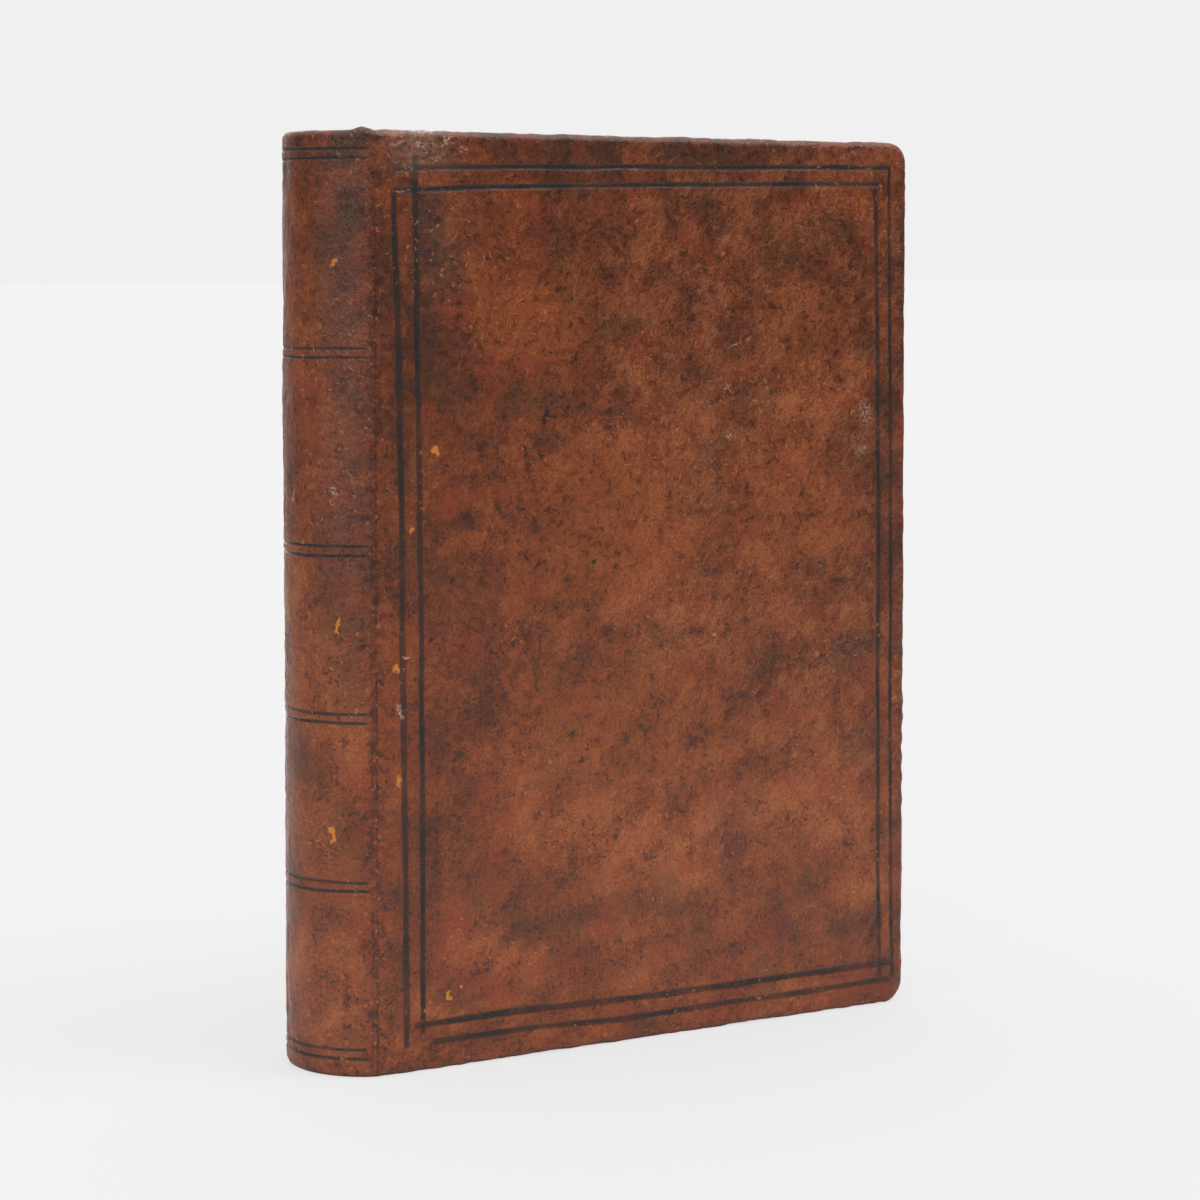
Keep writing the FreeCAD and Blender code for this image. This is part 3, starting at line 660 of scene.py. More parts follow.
def mark_field(u: Field, v: Field, kind: MarkKind) -> Field:
    """How strongly the soft marks of one kind lie on each point of the skin.

    Args:
        u: skin coordinate.
        v: height above the tail.
        kind: which marks.

    Returns:
        0 away from them, up to 1.
    """
    shifted_u = u + 1.9 * rough_field(u, v, (6.0, 6.0), 71.0, 3)
    shifted_v = v + 1.9 * rough_field(u, v, (6.0, 6.0), 77.0, 3)
    total = np.zeros_like(u)
    for mark in (m for m in MARKS if m.kind is kind):
        away_u, away_v = shifted_u - mark.u, shifted_v - mark.v
        turn = math.radians(mark.turn)
        along = away_u * math.cos(turn) + away_v * math.sin(turn)
        across = away_v * math.cos(turn) - away_u * math.sin(turn)
        distance = np.hypot(along / mark.wide, across / mark.high)
        total = np.maximum(total, mark.strength * smooth(distance, 1.30, 0.45))
    return total


def soft_marks(u: Field, v: Field) -> dict[str, Field]:
    """The vertex attributes that carry the soft marks."""
    return {
        "stain_and_crease_shade": mark_field(u, v, MarkKind.DARK),
        "warm": mark_field(u, v, MarkKind.ORANGE),
        "rubbed": mark_field(u, v, MarkKind.RED),
    }


def calf_material(name: str, finish: CalfFinish, with_marks: bool) -> bpy.types.Material:
    """Old mottled calf with grain, stains, wrinkles, wear and blackened lines, with painted highlights and
    shade in places.

    Args:
        name: the material's name.
        finish: its colours.
        with_marks: adds the crisp marks that the photographed sides carry.

    Returns:
        The material.
    """
    s = Shader.new(name)
    skin = s.skin()
    drift = s.flat_noise(skin, 2.4, 3.0, 0.65, output="Color")
    centred = s.add("ShaderNodeVectorMath", {0: drift, 1: (0.5, 0.5, 0.5)}, operation="SUBTRACT")
    swing = s.add(
        "ShaderNodeVectorMath", {0: centred.outputs[0], 1: (3.2, 3.2, 0.0)}, operation="MULTIPLY"
    )
    wavered = s.add(
        "ShaderNodeVectorMath", {0: skin, 1: swing.outputs[0]}, operation="ADD"
    ).outputs[0]

    # mottled tone, from broad drifts to single grains
    large = s.flat_noise(skin, 30.0, 3.0, 0.55)
    middle = s.flat_noise(wavered, 8.0, 4.0, 0.62)
    small = s.flat_noise(wavered, 1.9, 4.0, 0.68)
    grains = s.flat_noise(skin, 0.62, 2.0, 0.6)
    tone = s.math("MULTIPLY", large, 0.34)
    tone = s.math("MULTIPLY_ADD", middle, 0.26, tone)
    tone = s.math("MULTIPLY_ADD", small, 0.27, tone)
    tone = s.math("MULTIPLY_ADD", grains, 0.13, tone)
    height = s.add("ShaderNodeSeparateXYZ", {0: skin}).outputs["Y"]
    # painted light and shade: the tone rises a little towards the tail and falls towards the head,
    # standing in for floor light reflected on the lower leather
    tone = s.math("ADD", tone, s.ramp(height, 40.0, 180.0, 0.012, -0.036))
    colour = s.colours(tone, list(finish.tones))
    olive = s.ramp(s.flat_noise(wavered, 19.0, 3.0, 0.6), 0.51, 0.68, 0.0, 0.40)
    colour = s.blend(olive, colour, finish.olive)
    red = s.ramp(s.flat_noise(wavered, 12.0, 4.0, 0.6), 0.52, 0.68, 0.0, 0.50)
    colour = s.blend(red, colour, finish.red)

    # fine wrinkles of the skin, running up to the right, paler along their crests
    creased = s.attribute("creased")
    crest = None
    for degrees, size in ((27.0, 1.5), (50.0, 1.7)):
        lie = s.scaled(wavered, (1.0, 0.13, 1.0), math.radians(degrees))
        fold = s.flat_noise(lie, size, 1.5, 0.5)
        off_crest = s.math("ABSOLUTE", s.math("SUBTRACT", fold, 0.5))
        line = s.ramp(off_crest, 0.040, 0.004)
        crest = line if crest is None else s.math("MAXIMUM", crest, line)
    crest = s.math("MULTIPLY", crest, s.math("MULTIPLY", creased, s.ramp(middle, 0.42, 0.56, 0.25, 1.0)))
    colour = s.blend(s.math("MULTIPLY", crest, 0.42), colour, finish.fleck)

    # dark pores, gathered in clusters
    pore = s.add(
        "ShaderNodeTexVoronoi", {"Vector": wavered, "Scale": 1.0 / 1.35}, voronoi_dimensions="2D"
    )
    chosen = s.add("ShaderNodeSeparateXYZ", {0: pore.outputs["Color"]}).outputs["X"]
    pores = s.math("MULTIPLY", s.ramp(pore.outputs["Distance"], 0.30, 0.16), s.ramp(chosen, 0.52, 0.60))
    crowd = s.ramp(middle, 0.56, 0.44, 0.12, 1.0)
    pores = s.math("MULTIPLY", pores, crowd)
    colour = s.blend(s.math("MULTIPLY", pores, 0.78), colour, finish.stain_and_crease_shade)
    freckle = s.math("MULTIPLY", s.ramp(small, 0.40, 0.32), s.ramp(middle, 0.52, 0.44))
    colour = s.blend(s.math("MULTIPLY", freckle, 0.55), colour, finish.stain_and_crease_shade)

    # rubbed edges: redder, with dark specks
    worn = s.attribute("worn")
    rub = s.math("MULTIPLY", worn, s.ramp(middle, 0.42, 0.56))
    colour = s.blend(s.math("MULTIPLY", rub, 0.60), colour, finish.red)
    speck = s.math("MULTIPLY", worn, s.ramp(small, 0.49, 0.40))
    colour = s.blend(s.math("MULTIPLY", speck, 0.75), colour, finish.stain_and_crease_shade)
    grime = s.math("MULTIPLY", s.attribute("grime"), s.ramp(middle, 0.62, 0.40, 0.35, 1.0))
    colour = s.blend(s.math("MULTIPLY", grime, 0.70), colour, finish.grime)

    # soft stains, warm patches and painted shade in the joint's crease, broken up by the grain
    warmed = s.math("MULTIPLY", s.attribute("warm"), s.ramp(small, 0.34, 0.54))
    colour = s.blend(warmed, colour, finish.orange)
    reddened = s.math("MULTIPLY", s.attribute("rubbed"), s.ramp(small, 0.30, 0.50))
    colour = s.blend(reddened, colour, finish.red)
    # the stain mask also carries painted shade along the joint's crease
    stains_and_crease_shade = s.math("MULTIPLY", s.attribute("stain_and_crease_shade"), s.ramp(small, 0.62, 0.40, 0.55, 1.0))
    colour = s.blend(s.math("MULTIPLY", stains_and_crease_shade, 0.88), colour, finish.stain_and_crease_shade)
    if with_marks:
        group = spot_group()
        black = s.math("MULTIPLY", mark_mask(s, group, wavered, MarkKind.BLACK), 0.92)
        colour = s.blend(black, colour, finish.ink)

    # single grains lighter and darker
    speckle = s.colours(grains, [(0.30, "a8a8a8"), (0.50, "ebebeb"), (0.70, "ffffff")])
    colour = s.blend(0.5, colour, speckle, "MULTIPLY")

    # black of the tooled lines, rubbed away in places
    ink = s.attribute("ink")
    rubbed_off = s.ramp(small, 0.34, 0.46, 0.55, 1.0)
    ink = s.math("MULTIPLY", ink, rubbed_off)
    colour = s.blend(s.math("MULTIPLY", ink, 0.97), colour, finish.ink)
    if with_marks:
        ochre = mark_mask(s, group, wavered, MarkKind.OCHRE)
        torn = s.ramp(s.math("MULTIPLY", ochre, s.ramp(small, 0.28, 0.52, 0.35, 1.0)), 0.22, 0.55)
        colour = s.blend(s.math("MULTIPLY", torn, 0.9), colour, finish.ochre)
        # pale scuffs, and painted highlights standing for glints on the crumpled patch at the head
        pale = mark_mask(s, group, wavered, MarkKind.PALE)
        scuffs_and_painted_glints = s.math("MULTIPLY", pale, s.ramp(grains, 0.44, 0.56, 0.1, 1.0))
        colour = s.blend(s.math("MULTIPLY", scuffs_and_painted_glints, 0.8), colour, finish.pale)

    # the odd light fleck where the grain stands up; along the worn edges the flecks are painted highlights
    # on the edge's fibres
    fleck = s.add(
        "ShaderNodeTexVoronoi", {"Vector": wavered, "Scale": 1.0 / 3.1}, voronoi_dimensions="2D"
    ).outputs["Distance"]
    lifted_grain_and_edge_glints = s.math("MAXIMUM", worn, s.ramp(large, 0.50, 0.56, 0.0, 0.8))
    flecks = s.math("MULTIPLY", s.ramp(fleck, 0.11, 0.05), lifted_grain_and_edge_glints)
    colour = s.blend(flecks, colour, finish.fleck)

    gloss = s.attribute("gloss")
    # painted highlight: paled towards a whitish pink on the crumpled patch at the head and in a band down
    # the spine
    painted_sheen = s.math("MULTIPLY", s.attribute("painted_sheen"), s.ramp(small, 0.36, 0.56, 0.35, 0.9))
    colour = s.blend(painted_sheen, colour, finish.pale)
    crumple = s.attribute("crumple")
    roughness = s.ramp(small, 0.34, 0.66, 0.34, 0.50)
    roughness = s.math("MULTIPLY_ADD", gloss, -0.20, roughness)
    roughness = s.math("MULTIPLY_ADD", ink, 0.08, roughness, clamp=True)

    lift = s.flat_noise(wavered, 1.25, 4.0, 0.62)
    relief = s.math("MULTIPLY", lift, s.math("MULTIPLY_ADD", crumple, 2.6, 0.55))
    relief = s.math("MULTIPLY_ADD", crest, 0.22, relief)
    relief = s.math("MULTIPLY_ADD", pores, -0.22, relief)
    relief = s.math("MULTIPLY_ADD", grains, 0.22, relief)
    return s.finish(colour, roughness, relief, 0.13, Specular_IOR_Level=0.42)


@dataclass(frozen=True)
class PaperFinish:
    """Colours of old paper, as sRGB hex codes."""

    base: str = "cbb68f"
    deep: str = "b9a074"
    foxing: str = "8a5f34"
    soil: str = "8f7a55"


def paper_material(name: str, finish: PaperFinish, offset_stain: bool) -> bpy.types.Material:
    """Laid paper with chain lines, foxing and soiled edges, in Object coordinates.

    Args:
        name: the material's name.
        finish: its colours.
        offset_stain: browns the margins as turned-in leather does.

    Returns:
        The material.
    """
    s = Shader.new(name)
    place = s.place()
    fibre = s.noise(s.scaled(place, (1.0, 1.0, 0.35)), 0.9, 5.0, 0.7)
    tone = s.math("MULTIPLY_ADD", fibre, 0.5, s.math("MULTIPLY", s.noise(place, 55.0, 6.0, 0.7), 0.5))
    colour = s.colours(tone, [(0.38, finish.deep), (0.60, finish.base)])
    spots = s.math(
        "MULTIPLY",
        s.ramp(s.cells(place, 7.0), 0.13, 0.03),
        s.ramp(s.noise(place, 16.0, 3.0, 0.6), 0.46, 0.62),
    )
    colour = s.blend(s.math("MULTIPLY", spots, 0.7), colour, finish.foxing)
    axes = s.add("ShaderNodeSeparateXYZ", {0: place})
    if offset_stain:
        high = s.ramp(axes.outputs["Z"], 182.0, 195.0)
        low = s.ramp(axes.outputs["Z"], 18.0, 5.0)
        fore = s.ramp(axes.outputs["X"], 52.0, 68.0)
        edge = s.math("MAXIMUM", s.math("MAXIMUM", high, low), fore)
        edge = s.math("MULTIPLY", edge, s.ramp(s.noise(place, 6.0, 4.0, 0.6), 0.25, 0.65, 0.4, 1.0))
        colour = s.blend(s.math("MULTIPLY", edge, 0.75), colour, finish.foxing)
    laid = s.math("SINE", s.math("MULTIPLY", axes.outputs["Z"], 2.0 * math.pi / 1.1))
    chain = s.math("SINE", s.math("MULTIPLY", axes.outputs["X"], 2.0 * math.pi / 24.0))
    chain = s.ramp(chain, 0.97, 1.0)
    colour = s.blend(s.math("MULTIPLY", chain, 0.18), colour, finish.deep)
    height = s.math("MULTIPLY_ADD", laid, 0.10, s.noise(place, 0.8, 4.0, 0.6))
    height = s.math("MULTIPLY_ADD", s.noise(place, 30.0, 2.0, 0.5), 1.5, height)
    return s.finish(colour, 0.85, height, 0.06, Specular_IOR_Level=0.25)


def leaf_edge_material(name: str, finish: PaperFinish) -> bpy.types.Material:
    """Cut edges of several hundred leaves, as fine lines across the block's thickness.

    Args:
        name: the material's name.
        finish: its colours.

    Returns:
        The material.
    """
    s = Shader.new(name)
    uv = s.add("ShaderNodeUVMap", uv_map="UVMap").outputs["UV"]
    across = s.scaled(uv, (236.0, 6.0, 1.0))
    lines = s.noise(across, 1.0, 2.0, 0.5)
    broad = s.noise(s.scaled(uv, (30.0, 3.0, 1.0)), 1.0, 3.0, 0.6)
    mix = s.math("MULTIPLY_ADD", lines, 0.6, s.math("MULTIPLY", broad, 0.4))
    colour = s.colours(mix, [(0.34, "6f5736"), (0.50, finish.deep), (0.68, finish.base)])
    soil = s.ramp(s.noise(s.place(), 14.0, 5.0, 0.65), 0.42, 0.70, 0.05, 0.65)
    colour = s.blend(soil, colour, finish.soil)
    return s.finish(colour, 0.88, lines, 0.10, Specular_IOR_Level=0.2)


def plain_material(name: str, dark: str, light: str, grain: float, roughness: float) -> bpy.types.Material:
    """A dull two-tone fibre material for boards, cords and threads.

    Args:
        name: the material's name.
        dark: darker hex colour.
        light: lighter hex colour.
        grain: size of its fibres in millimetres.
        roughness: how dull it is.

    Returns:
        The material.
    """
    s = Shader.new(name)
    place = s.place()
    fibres = s.noise(s.scaled(place, (0.4, 1.0, 1.0)), grain, 5.0, 0.65, 0.5)
    colour = s.colours(fibres, [(0.36, dark), (0.64, light)])
    return s.finish(colour, roughness, fibres, 0.08, Specular_IOR_Level=0.2)


def wound_thread_material(name: str) -> bpy.types.Material:
    """Endband thread in two faded colours that take turns along the band."""
    s = Shader.new(name)
    uv = s.add("ShaderNodeUVMap", uv_map="UVMap").outputs["UV"]
    along = s.add("ShaderNodeSeparateXYZ", {0: uv}).outputs["X"]
    turns = s.math("FRACT", s.math("MULTIPLY", along, 11.0))
    swap = s.ramp(turns, 0.47, 0.53)
    fibre = s.noise(s.place(), 0.35, 4.0, 0.6)
    natural = s.colours(fibre, [(0.35, "8b7650"), (0.65, "b9a57c")])
    brown = s.colours(fibre, [(0.35, "4b2c1d"), (0.65, "6f4630")])
    colour = s.blend(swap, natural, brown)
    return s.finish(colour, 0.8, fibre, 0.05, Specular_IOR_Level=0.25)


# sizes


@dataclass(frozen=True)
class BookSizes:
    """The part's sizes in millimetres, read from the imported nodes.

    Attributes:
        height: head to tail.
        half: half the closed thickness.
        joint_x: where the covers hinge.
        spine_x: crown of the spine.
        fore_x: fore-edge of the covers.
        depth: thickness of a cover with its turned-in leather.
        block_low: lowest corner of the leaves.
        block_high: highest corner of the leaves.
    """

    height: float
    half: float
    joint_x: float
    spine_x: float
    fore_x: float
    depth: float
    block_low: tuple[float, float, float]
    block_high: tuple[float, float, float]

    @classmethod
    def read(cls) -> BookSizes:
        """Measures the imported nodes."""
        low, high = (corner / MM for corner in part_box("front_cover_leather"))
        spine_low, _ = (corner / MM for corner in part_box("spine_leather"))
        block = [tuple(corner / MM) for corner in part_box("text_block")]
        return cls(
            height=high.z - low.z,
            half=-low.y,
            joint_x=low.x - 0.15,
            spine_x=spine_low.x,
            fore_x=high.x,
            depth=high.y - low.y,
            block_low=block[0],
            block_high=block[1],
        )

    @property
    def width(self) -> float:
        """Joint line to fore-edge."""
        return self.fore_x - self.joint_x

    @property
    def shoulder(self) -> float:
        """Half the width of the spine leather at the joint."""
        return self.half - 0.15

    @property
    def bulge(self) -> float:
        """How far the spine stands out past the joint."""
        return self.joint_x - self.spine_x

    @property
    def radius(self) -> float:
        """Radius of the spine's round."""
        return (self.shoulder**2 + self.bulge**2) / (2.0 * self.bulge)

    @property
    def reach(self) -> float:
        """Half the angle that the spine leather spans, in radians."""
        return math.asin(self.shoulder / self.radius)

    @property
    def spine_length(self) -> float:
        """Distance over the spine from joint to joint."""
        return 2.0 * self.reach * self.radius


@dataclass(frozen=True)
class ToolLine:
    """One line pressed into the leather and blackened.

    Attributes:
        along: which way it runs.
        stations: (distance along, distance across) pairs that it passes through, in millimetres.
        width: its width.
        depth: how deep it is pressed.
        seed: picks its own wobble.
    """

    along: Along
    stations: tuple[tuple[float, float], ...]
    width: float
    depth: float
    seed: float

    def masks(self, u: Field, v: Field) -> tuple[Field, Field]:
        """How deep and how black the line is at each point.

        Args:
            u: skin coordinate from the joint.
            v: height above the tail.

        Returns:
            Depth in millimetres, and blackness from 0 to 1.
        """
        run, cross = (u, v) if self.along is Along.LEVEL else (v, u)
        places = [place for place, _ in self.stations]
        offsets = [offset for _, offset in self.stations]
        middle = np.interp(run, places, offsets)
        nought = np.zeros_like(run)
        middle = middle + 0.16 * rough_field(run, nought, (13.0, 1.0), self.seed, 2)
        width = self.width * (1.0 + 0.22 * rough_field(run, nought, (7.0, 1.0), self.seed + 3.0, 3))
        away = np.abs(cross - middle) / (width / 2.0)
        ends = smooth(run, places[0] - 0.4, places[0] + 0.8)
        ends = ends * smooth(run, places[-1] + 0.4, places[-1] - 0.8)
        groove = smooth(away, 1.25, 0.35) * ends
        press = 0.75 + 0.25 * rough_field(run, nought, (5.0, 1.0), self.seed + 7.0, 2)
        fade = 0.86 + 0.3 * rough_field(run, nought, (9.0, 1.0), self.seed + 5.0, 3)
        black = smooth(away, 1.22, 0.72) * ends * np.clip(fade, 0.35, 1.0)
        return self.depth * press * groove, black


def wrap_profile(d: Field, outer: float, inner: float, depth: float) -> tuple[Field, Field]:
    """Where leather lies once it has gone distance d past the start of an outer edge's round.

    Args:
        d: distance along the leather.
        outer: radius at the outer edge.
        inner: radius at the inner edge.
        depth: thickness of what it wraps.

    Returns:
        How far out past the start it lies, and how deep below the outer face.
    """
    arc_one = math.pi * outer / 2.0
    flat = depth - outer - inner
    arc_two = math.pi * inner / 2.0
    first = np.clip(d, 0.0, arc_one) / outer
    second = np.clip(d - arc_one - flat, 0.0, arc_two) / inner
    past = np.clip(d - arc_one - flat - arc_two, 0.0, None)
    out = outer * np.sin(first) - inner * (1.0 - np.cos(second)) - past
    down = outer * (1.0 - np.cos(first)) + np.clip(d - arc_one, 0.0, flat) + inner * np.sin(second)
    return out, down


# leather over a cover


@dataclass
class CoverSkin:
    """The calf over one board: outer face, wrapped edges and the turned-in strips.

    Attributes:
        side: front or back.
        sizes: the part's sizes.
        leather: its material.
        lines: the tooled lines, for the front cover's own coordinates.
        seed: picks the unevenness.
    """

    side: Side
    sizes: BookSizes
    leather: bpy.types.Material
    lines: list[ToolLine]
    seed: float
    outer_round: float = 1.7
    inner_round: float = 0.7
    tail_corner: float = 5.4
    head_corner: float = 4.6
    tuck: float = 0.9
    rim: float = 1.2
    turn_in: float = 15.0
    pieces: list[bpy.types.Object] = field(default_factory=list)

    @property
    def body(self) -> str:
        """The body that the cover is."""
        return f"{self.side.value}_cover"

    def to_frame(self, x: Field, depth: Field, z: Field) -> Field:
        """Puts cover coordinates into the row frame; depth is counted inward from the outer face."""
        sign = -1.0 if self.side is Side.FRONT else 1.0
        return np.stack([self.sizes.joint_x + x, sign * (self.sizes.half - depth), z], axis=-1)

    def round_corners(self, a: Field, b: Field) -> tuple[Field, Field]:
        """Bends the grid's square fore-edge corners into the board's rounded ones."""
        wide, high = self.sizes.width, self.sizes.height
        for corner, base, sign in (
            (self.tail_corner, self.tail_corner, -1.0),
            (self.head_corner, high - self.head_corner, 1.0),
        ):
            p = a - (wide - corner)
            q = (b - base) * sign
            inside = (p > 0) & (q > 0)
            longest = np.maximum(np.maximum(p, q), 1e-9)
            angle = np.where(p >= q, q / longest * math.pi / 4, math.pi / 2 - p / longest * math.pi / 4)
            a = np.where(inside, wide - corner + longest * np.cos(angle), a)
            b = np.where(inside, base + sign * longest * np.sin(angle), b)
        return a, b

    def place(self, a: Field, b: Field) -> tuple[Field, Field, Field, Field]:
        """Lays flat skin over the board.

        Args:
            a: distance from the joint over the leather.
            b: height over the leather.

        Returns:
            x, depth and z on the board, and the distance wrapped past the edge's start.
        """
        wide, high, r = self.sizes.width, self.sizes.height, self.outer_round
        limit_x = wide - r
        base_x, base_z = np.minimum(a, limit_x), np.clip(b, r, high - r)
        away_x, away_z = a - base_x, b - base_z
        for corner, base, sign in (
            (self.tail_corner, self.tail_corner, -1.0),
            (self.head_corner, high - self.head_corner, 1.0),
        ):
            p = a - (wide - corner)
            q = (b - base) * sign
            inside = (p > 0) & (q > 0)
            distance = np.maximum(np.hypot(p, q), 1e-9)
            kept = np.minimum(distance, corner - r)
            base_x = np.where(inside, wide - corner + p / distance * kept, base_x)
            base_z = np.where(inside, base + sign * q / distance * kept, base_z)
            away_x = np.where(inside, a - base_x, away_x)
            away_z = np.where(inside, b - base_z, away_z)
        gone = np.hypot(away_x, away_z)
        out, down = wrap_profile(gone, r, self.inner_round, self.sizes.depth)
        share = out / np.maximum(gone, 1e-9)
        return base_x + away_x * share, down, base_z + away_z * share, gone

    def skin_u(self, a: Field) -> Field:
        """The skin coordinate u of a distance from this cover's joint."""
        return a if self.side is Side.FRONT else -self.sizes.spine_length - a

    def outer_skin(self) -> bpy.types.Object:
        """The outer face with its wrapped edges, tooled lines and crumpled places."""
        wide, high = self.sizes.width, self.sizes.height
        wrap = math.pi * (self.outer_round + self.inner_round) / 2.0
        wrap += self.sizes.depth - self.outer_round - self.inner_round + self.rim
        dense_a, dense_b = [(0.2, 1.2, 0.12)], []
        for line in self.lines:
            offsets = [offset for _, offset in line.stations]
            middle = (min(offsets) + max(offsets)) / 2.0
            reach = (max(offsets) - min(offsets)) / 2.0 + line.width * 0.85
            target = dense_b if line.along is Along.LEVEL else dense_a
            target.append((middle, reach, 0.23))
        dense_a.append((wide - self.outer_round + wrap / 2, wrap / 2 + 0.3, 0.36))
        dense_b.append((self.outer_round - wrap / 2, wrap / 2 + 0.3, 0.36))
        dense_b.append((high - self.outer_round + wrap / 2, wrap / 2 + 0.3, 0.36))
        columns = spaced(-self.tuck, wide - self.outer_round + wrap, 0.95, dense_a)
        rows = spaced(self.outer_round - wrap, high - self.outer_round + wrap, 0.95, dense_b)
        a, b = np.meshgrid(columns, rows)
        a, b = self.round_corners(a, b)
        x, depth, z, gone = self.place(a, b)
        u = self.skin_u(a)

        # past the joint the skin dives under the spine's edge
        crease = np.exp(-((a - 0.05) ** 2) / 0.30**2)
        depth = depth + 0.22 * crease + np.where(a < 0, -a * 0.75 + 0.15, 0.0)
        face = self.to_frame(x, depth, z)
        normal = surface_normals(face)
        if self.side is Side.BACK:
            normal = -normal
        open_face = smooth(a, 0.5, 3.0)
        relief = 0.10 * rough_field(u, b, (30.0, 34.0), self.seed, 3) * open_face
        relief += 0.05 * rough_field(u, b, (5.0, 5.0), self.seed + 2.0, 3) * open_face
        near_edge = np.exp(-np.minimum(np.minimum(b, high - b), wide - a).clip(0.0) / 2.2)
        lumps = rough_field(u, b, (7.0, 7.0), self.seed + 4.0, 3)
        nicks = rough_field(u, b, (2.6, 2.6), self.seed + 6.0, 3)
        relief += (0.17 * lumps + 0.20 * nicks) * near_edge * open_face
        if self.side is Side.FRONT:
            crumpled = np.exp(-(((a - 10.0) / 9.0) ** 2) - (((b - 197.0) / 5.0) ** 2))
            folds = 0.5 - np.abs(rough_field(u + b * 0.6, b - u * 0.3, (5.5, 2.4), 41.0, 3))
            relief += 1.0 * crumpled * folds * open_face
            patch = np.exp(-(((a - 16.0) / 8.0) ** 2) - (((b - 180.0) / 13.0) ** 2))
            relief += 0.22 * patch * rough_field(u, b, (2.4, 2.4), 57.0, 3)
            pull = np.exp(-(((a - 128.0) / 9.0) ** 2) - (((b - 16.0) / 14.0) ** 2))
            wave = np.sin((a * 0.80 - b * 0.60) * 2.0 * math.pi / 3.6 + lumps * 2.0)
            relief += 0.15 * pull * wave
            side_pull = np.exp(-(((a - 137.0) / 6.0) ** 2) - (((b - 62.0) / 18.0) ** 2))
            relief += 0.16 * side_pull * np.sin((a * 0.5 + b) * 2.0 * math.pi / 5.0 + lumps * 2.0)
        grooves, ink = np.zeros_like(a), np.zeros_like(a)
        for line in self.lines:
            groove, black = line.masks(a, b)
            grooves = np.maximum(grooves, groove)
            ink = np.maximum(ink, black)
        points = face + normal * (relief - grooves)[..., None]
        worn = np.maximum(near_edge, smooth(gone, 0.0, 1.5))
        worn = np.maximum(worn, 0.75 * np.exp(-(((a - 0.6) / 1.6) ** 2)))
        grime = np.zeros_like(a)
        gloss = np.zeros_like(a)
        painted_sheen = np.zeros_like(a)
        crumple = 0.5 * near_edge
        creased = np.full_like(a, 0.35)
        if self.side is Side.FRONT:
            head_patch = np.exp(-(((a - 11.0) / 10.0) ** 2) - (((b - 196.0) / 6.0) ** 2))
            torn_patch = np.exp(-(((a - 15.0) / 7.0) ** 2) - (((b - 178.0) / 13.0) ** 2))
            crumple = np.maximum(crumple, np.maximum(head_patch, 0.8 * torn_patch))
            creased = 0.15 + 0.85 * smooth(a, 30.0, 72.0) * smooth(b, 28.0, 60.0)
            # painted highlight: the crumpled patch at the head is paled as if catching light
            painted_sheen = 0.22 * crumpled
            gloss = 1.1 * np.exp(-(((a - 11.0) / 11.0) ** 2) - (((b - 197.0) / 6.0) ** 2))
            grime = np.exp(-(((a - 7.0) / 12.0) ** 2) - (((b - 170.0) / 42.0) ** 2))
            grime = np.maximum(grime, 0.6 * np.exp(-(((a - 134.0) / 7.0) ** 2)))
            grime = np.maximum(grime, 0.5 * smooth(b, 190.0, 197.0))
        marks = soft_marks(u, b)
        # painted shade: a dark line, broken along the height, laid in the joint's crease and carried with
        # the stains
        broken = 0.80 + 0.5 * rough_field(u * 0.0, b, (1.0, 9.0), 91.0, 3)
        crease_shade = np.exp(-(((a - 0.15) / 0.30) ** 2)) * broken
        marks["stain_and_crease_shade"] = np.maximum(marks["stain_and_crease_shade"], np.clip(crease_shade, 0.0, 1.0))
        uv = np.stack([u, b], axis=-1) / SKIN_SPAN
        piece = grid_object(
            f"{self.side.value}_cover_calf",
            points,
            self.leather,
            uv=uv,
            attributes={
                "ink": ink,
                "worn": worn,
                "grime": grime,
                "gloss": gloss,
                "painted_sheen": painted_sheen,
                "crumple": crumple,
                "creased": creased,
                **marks,
            },
            flipped=self.side is Side.BACK,
        )
        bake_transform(piece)
        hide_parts(f"{self.side.value}_cover_leather", f"{self.side.value}_tooled_lines")
        return piece

    def turned_strip(self, name: str, edge: str) -> bpy.types.Object:
        """One strip of leather pasted down inside the board, mitred at its fore-edge end."""
        wide, high = self.sizes.width, self.sizes.height
        across = np.concatenate([np.linspace(self.rim + 0.3, self.turn_in, 14), [self.turn_in]])
        along = np.linspace(0.0, 1.0, 110)
        t, w = np.meshgrid(along, across)
        uneven = 1.0 + 0.035 * rough_field(t * 40.0, t * 0.0, (1.0, 1.0), self.seed + 13.0, 3)
        w = np.where(w > 8.0, w * uneven, w)
        corner = 0.7
        if edge == "fore":
            z = corner + w + t * (high - 2.0 * (w + corner))
            x = wide - w
        else:
            x = 0.25 + t * (wide - corner - w - 0.25)
            z = w if edge == "tail" else high - w
        depth = np.full_like(x, self.sizes.depth + 0.015)
        depth[-1] -= 0.45
        points = self.to_frame(x, depth, z)
        uv = np.stack([self.skin_u(x + 300.0), z + w], axis=-1) / SKIN_SPAN
        worn = np.clip(1.2 - w / 3.0, 0.0, 1.0)
        normal = surface_normals(points)
        outward = 1.0 if self.side is Side.FRONT else -1.0
        flipped = float(np.mean(normal[..., 1])) * outward < 0
        piece = grid_object(name, points, self.leather, uv=uv, attributes={"worn": worn}, flipped=flipped)
        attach(piece, self.body)
        return piece

    def build(self) -> None:
        """Makes the outer skin and the three turned-in strips."""
        self.pieces.append(self.outer_skin())
        for edge in ("head", "fore", "tail"):
            self.pieces.append(self.turned_strip(f"{self.side.value}_{edge}_turn_in", edge))


# leather over the spine


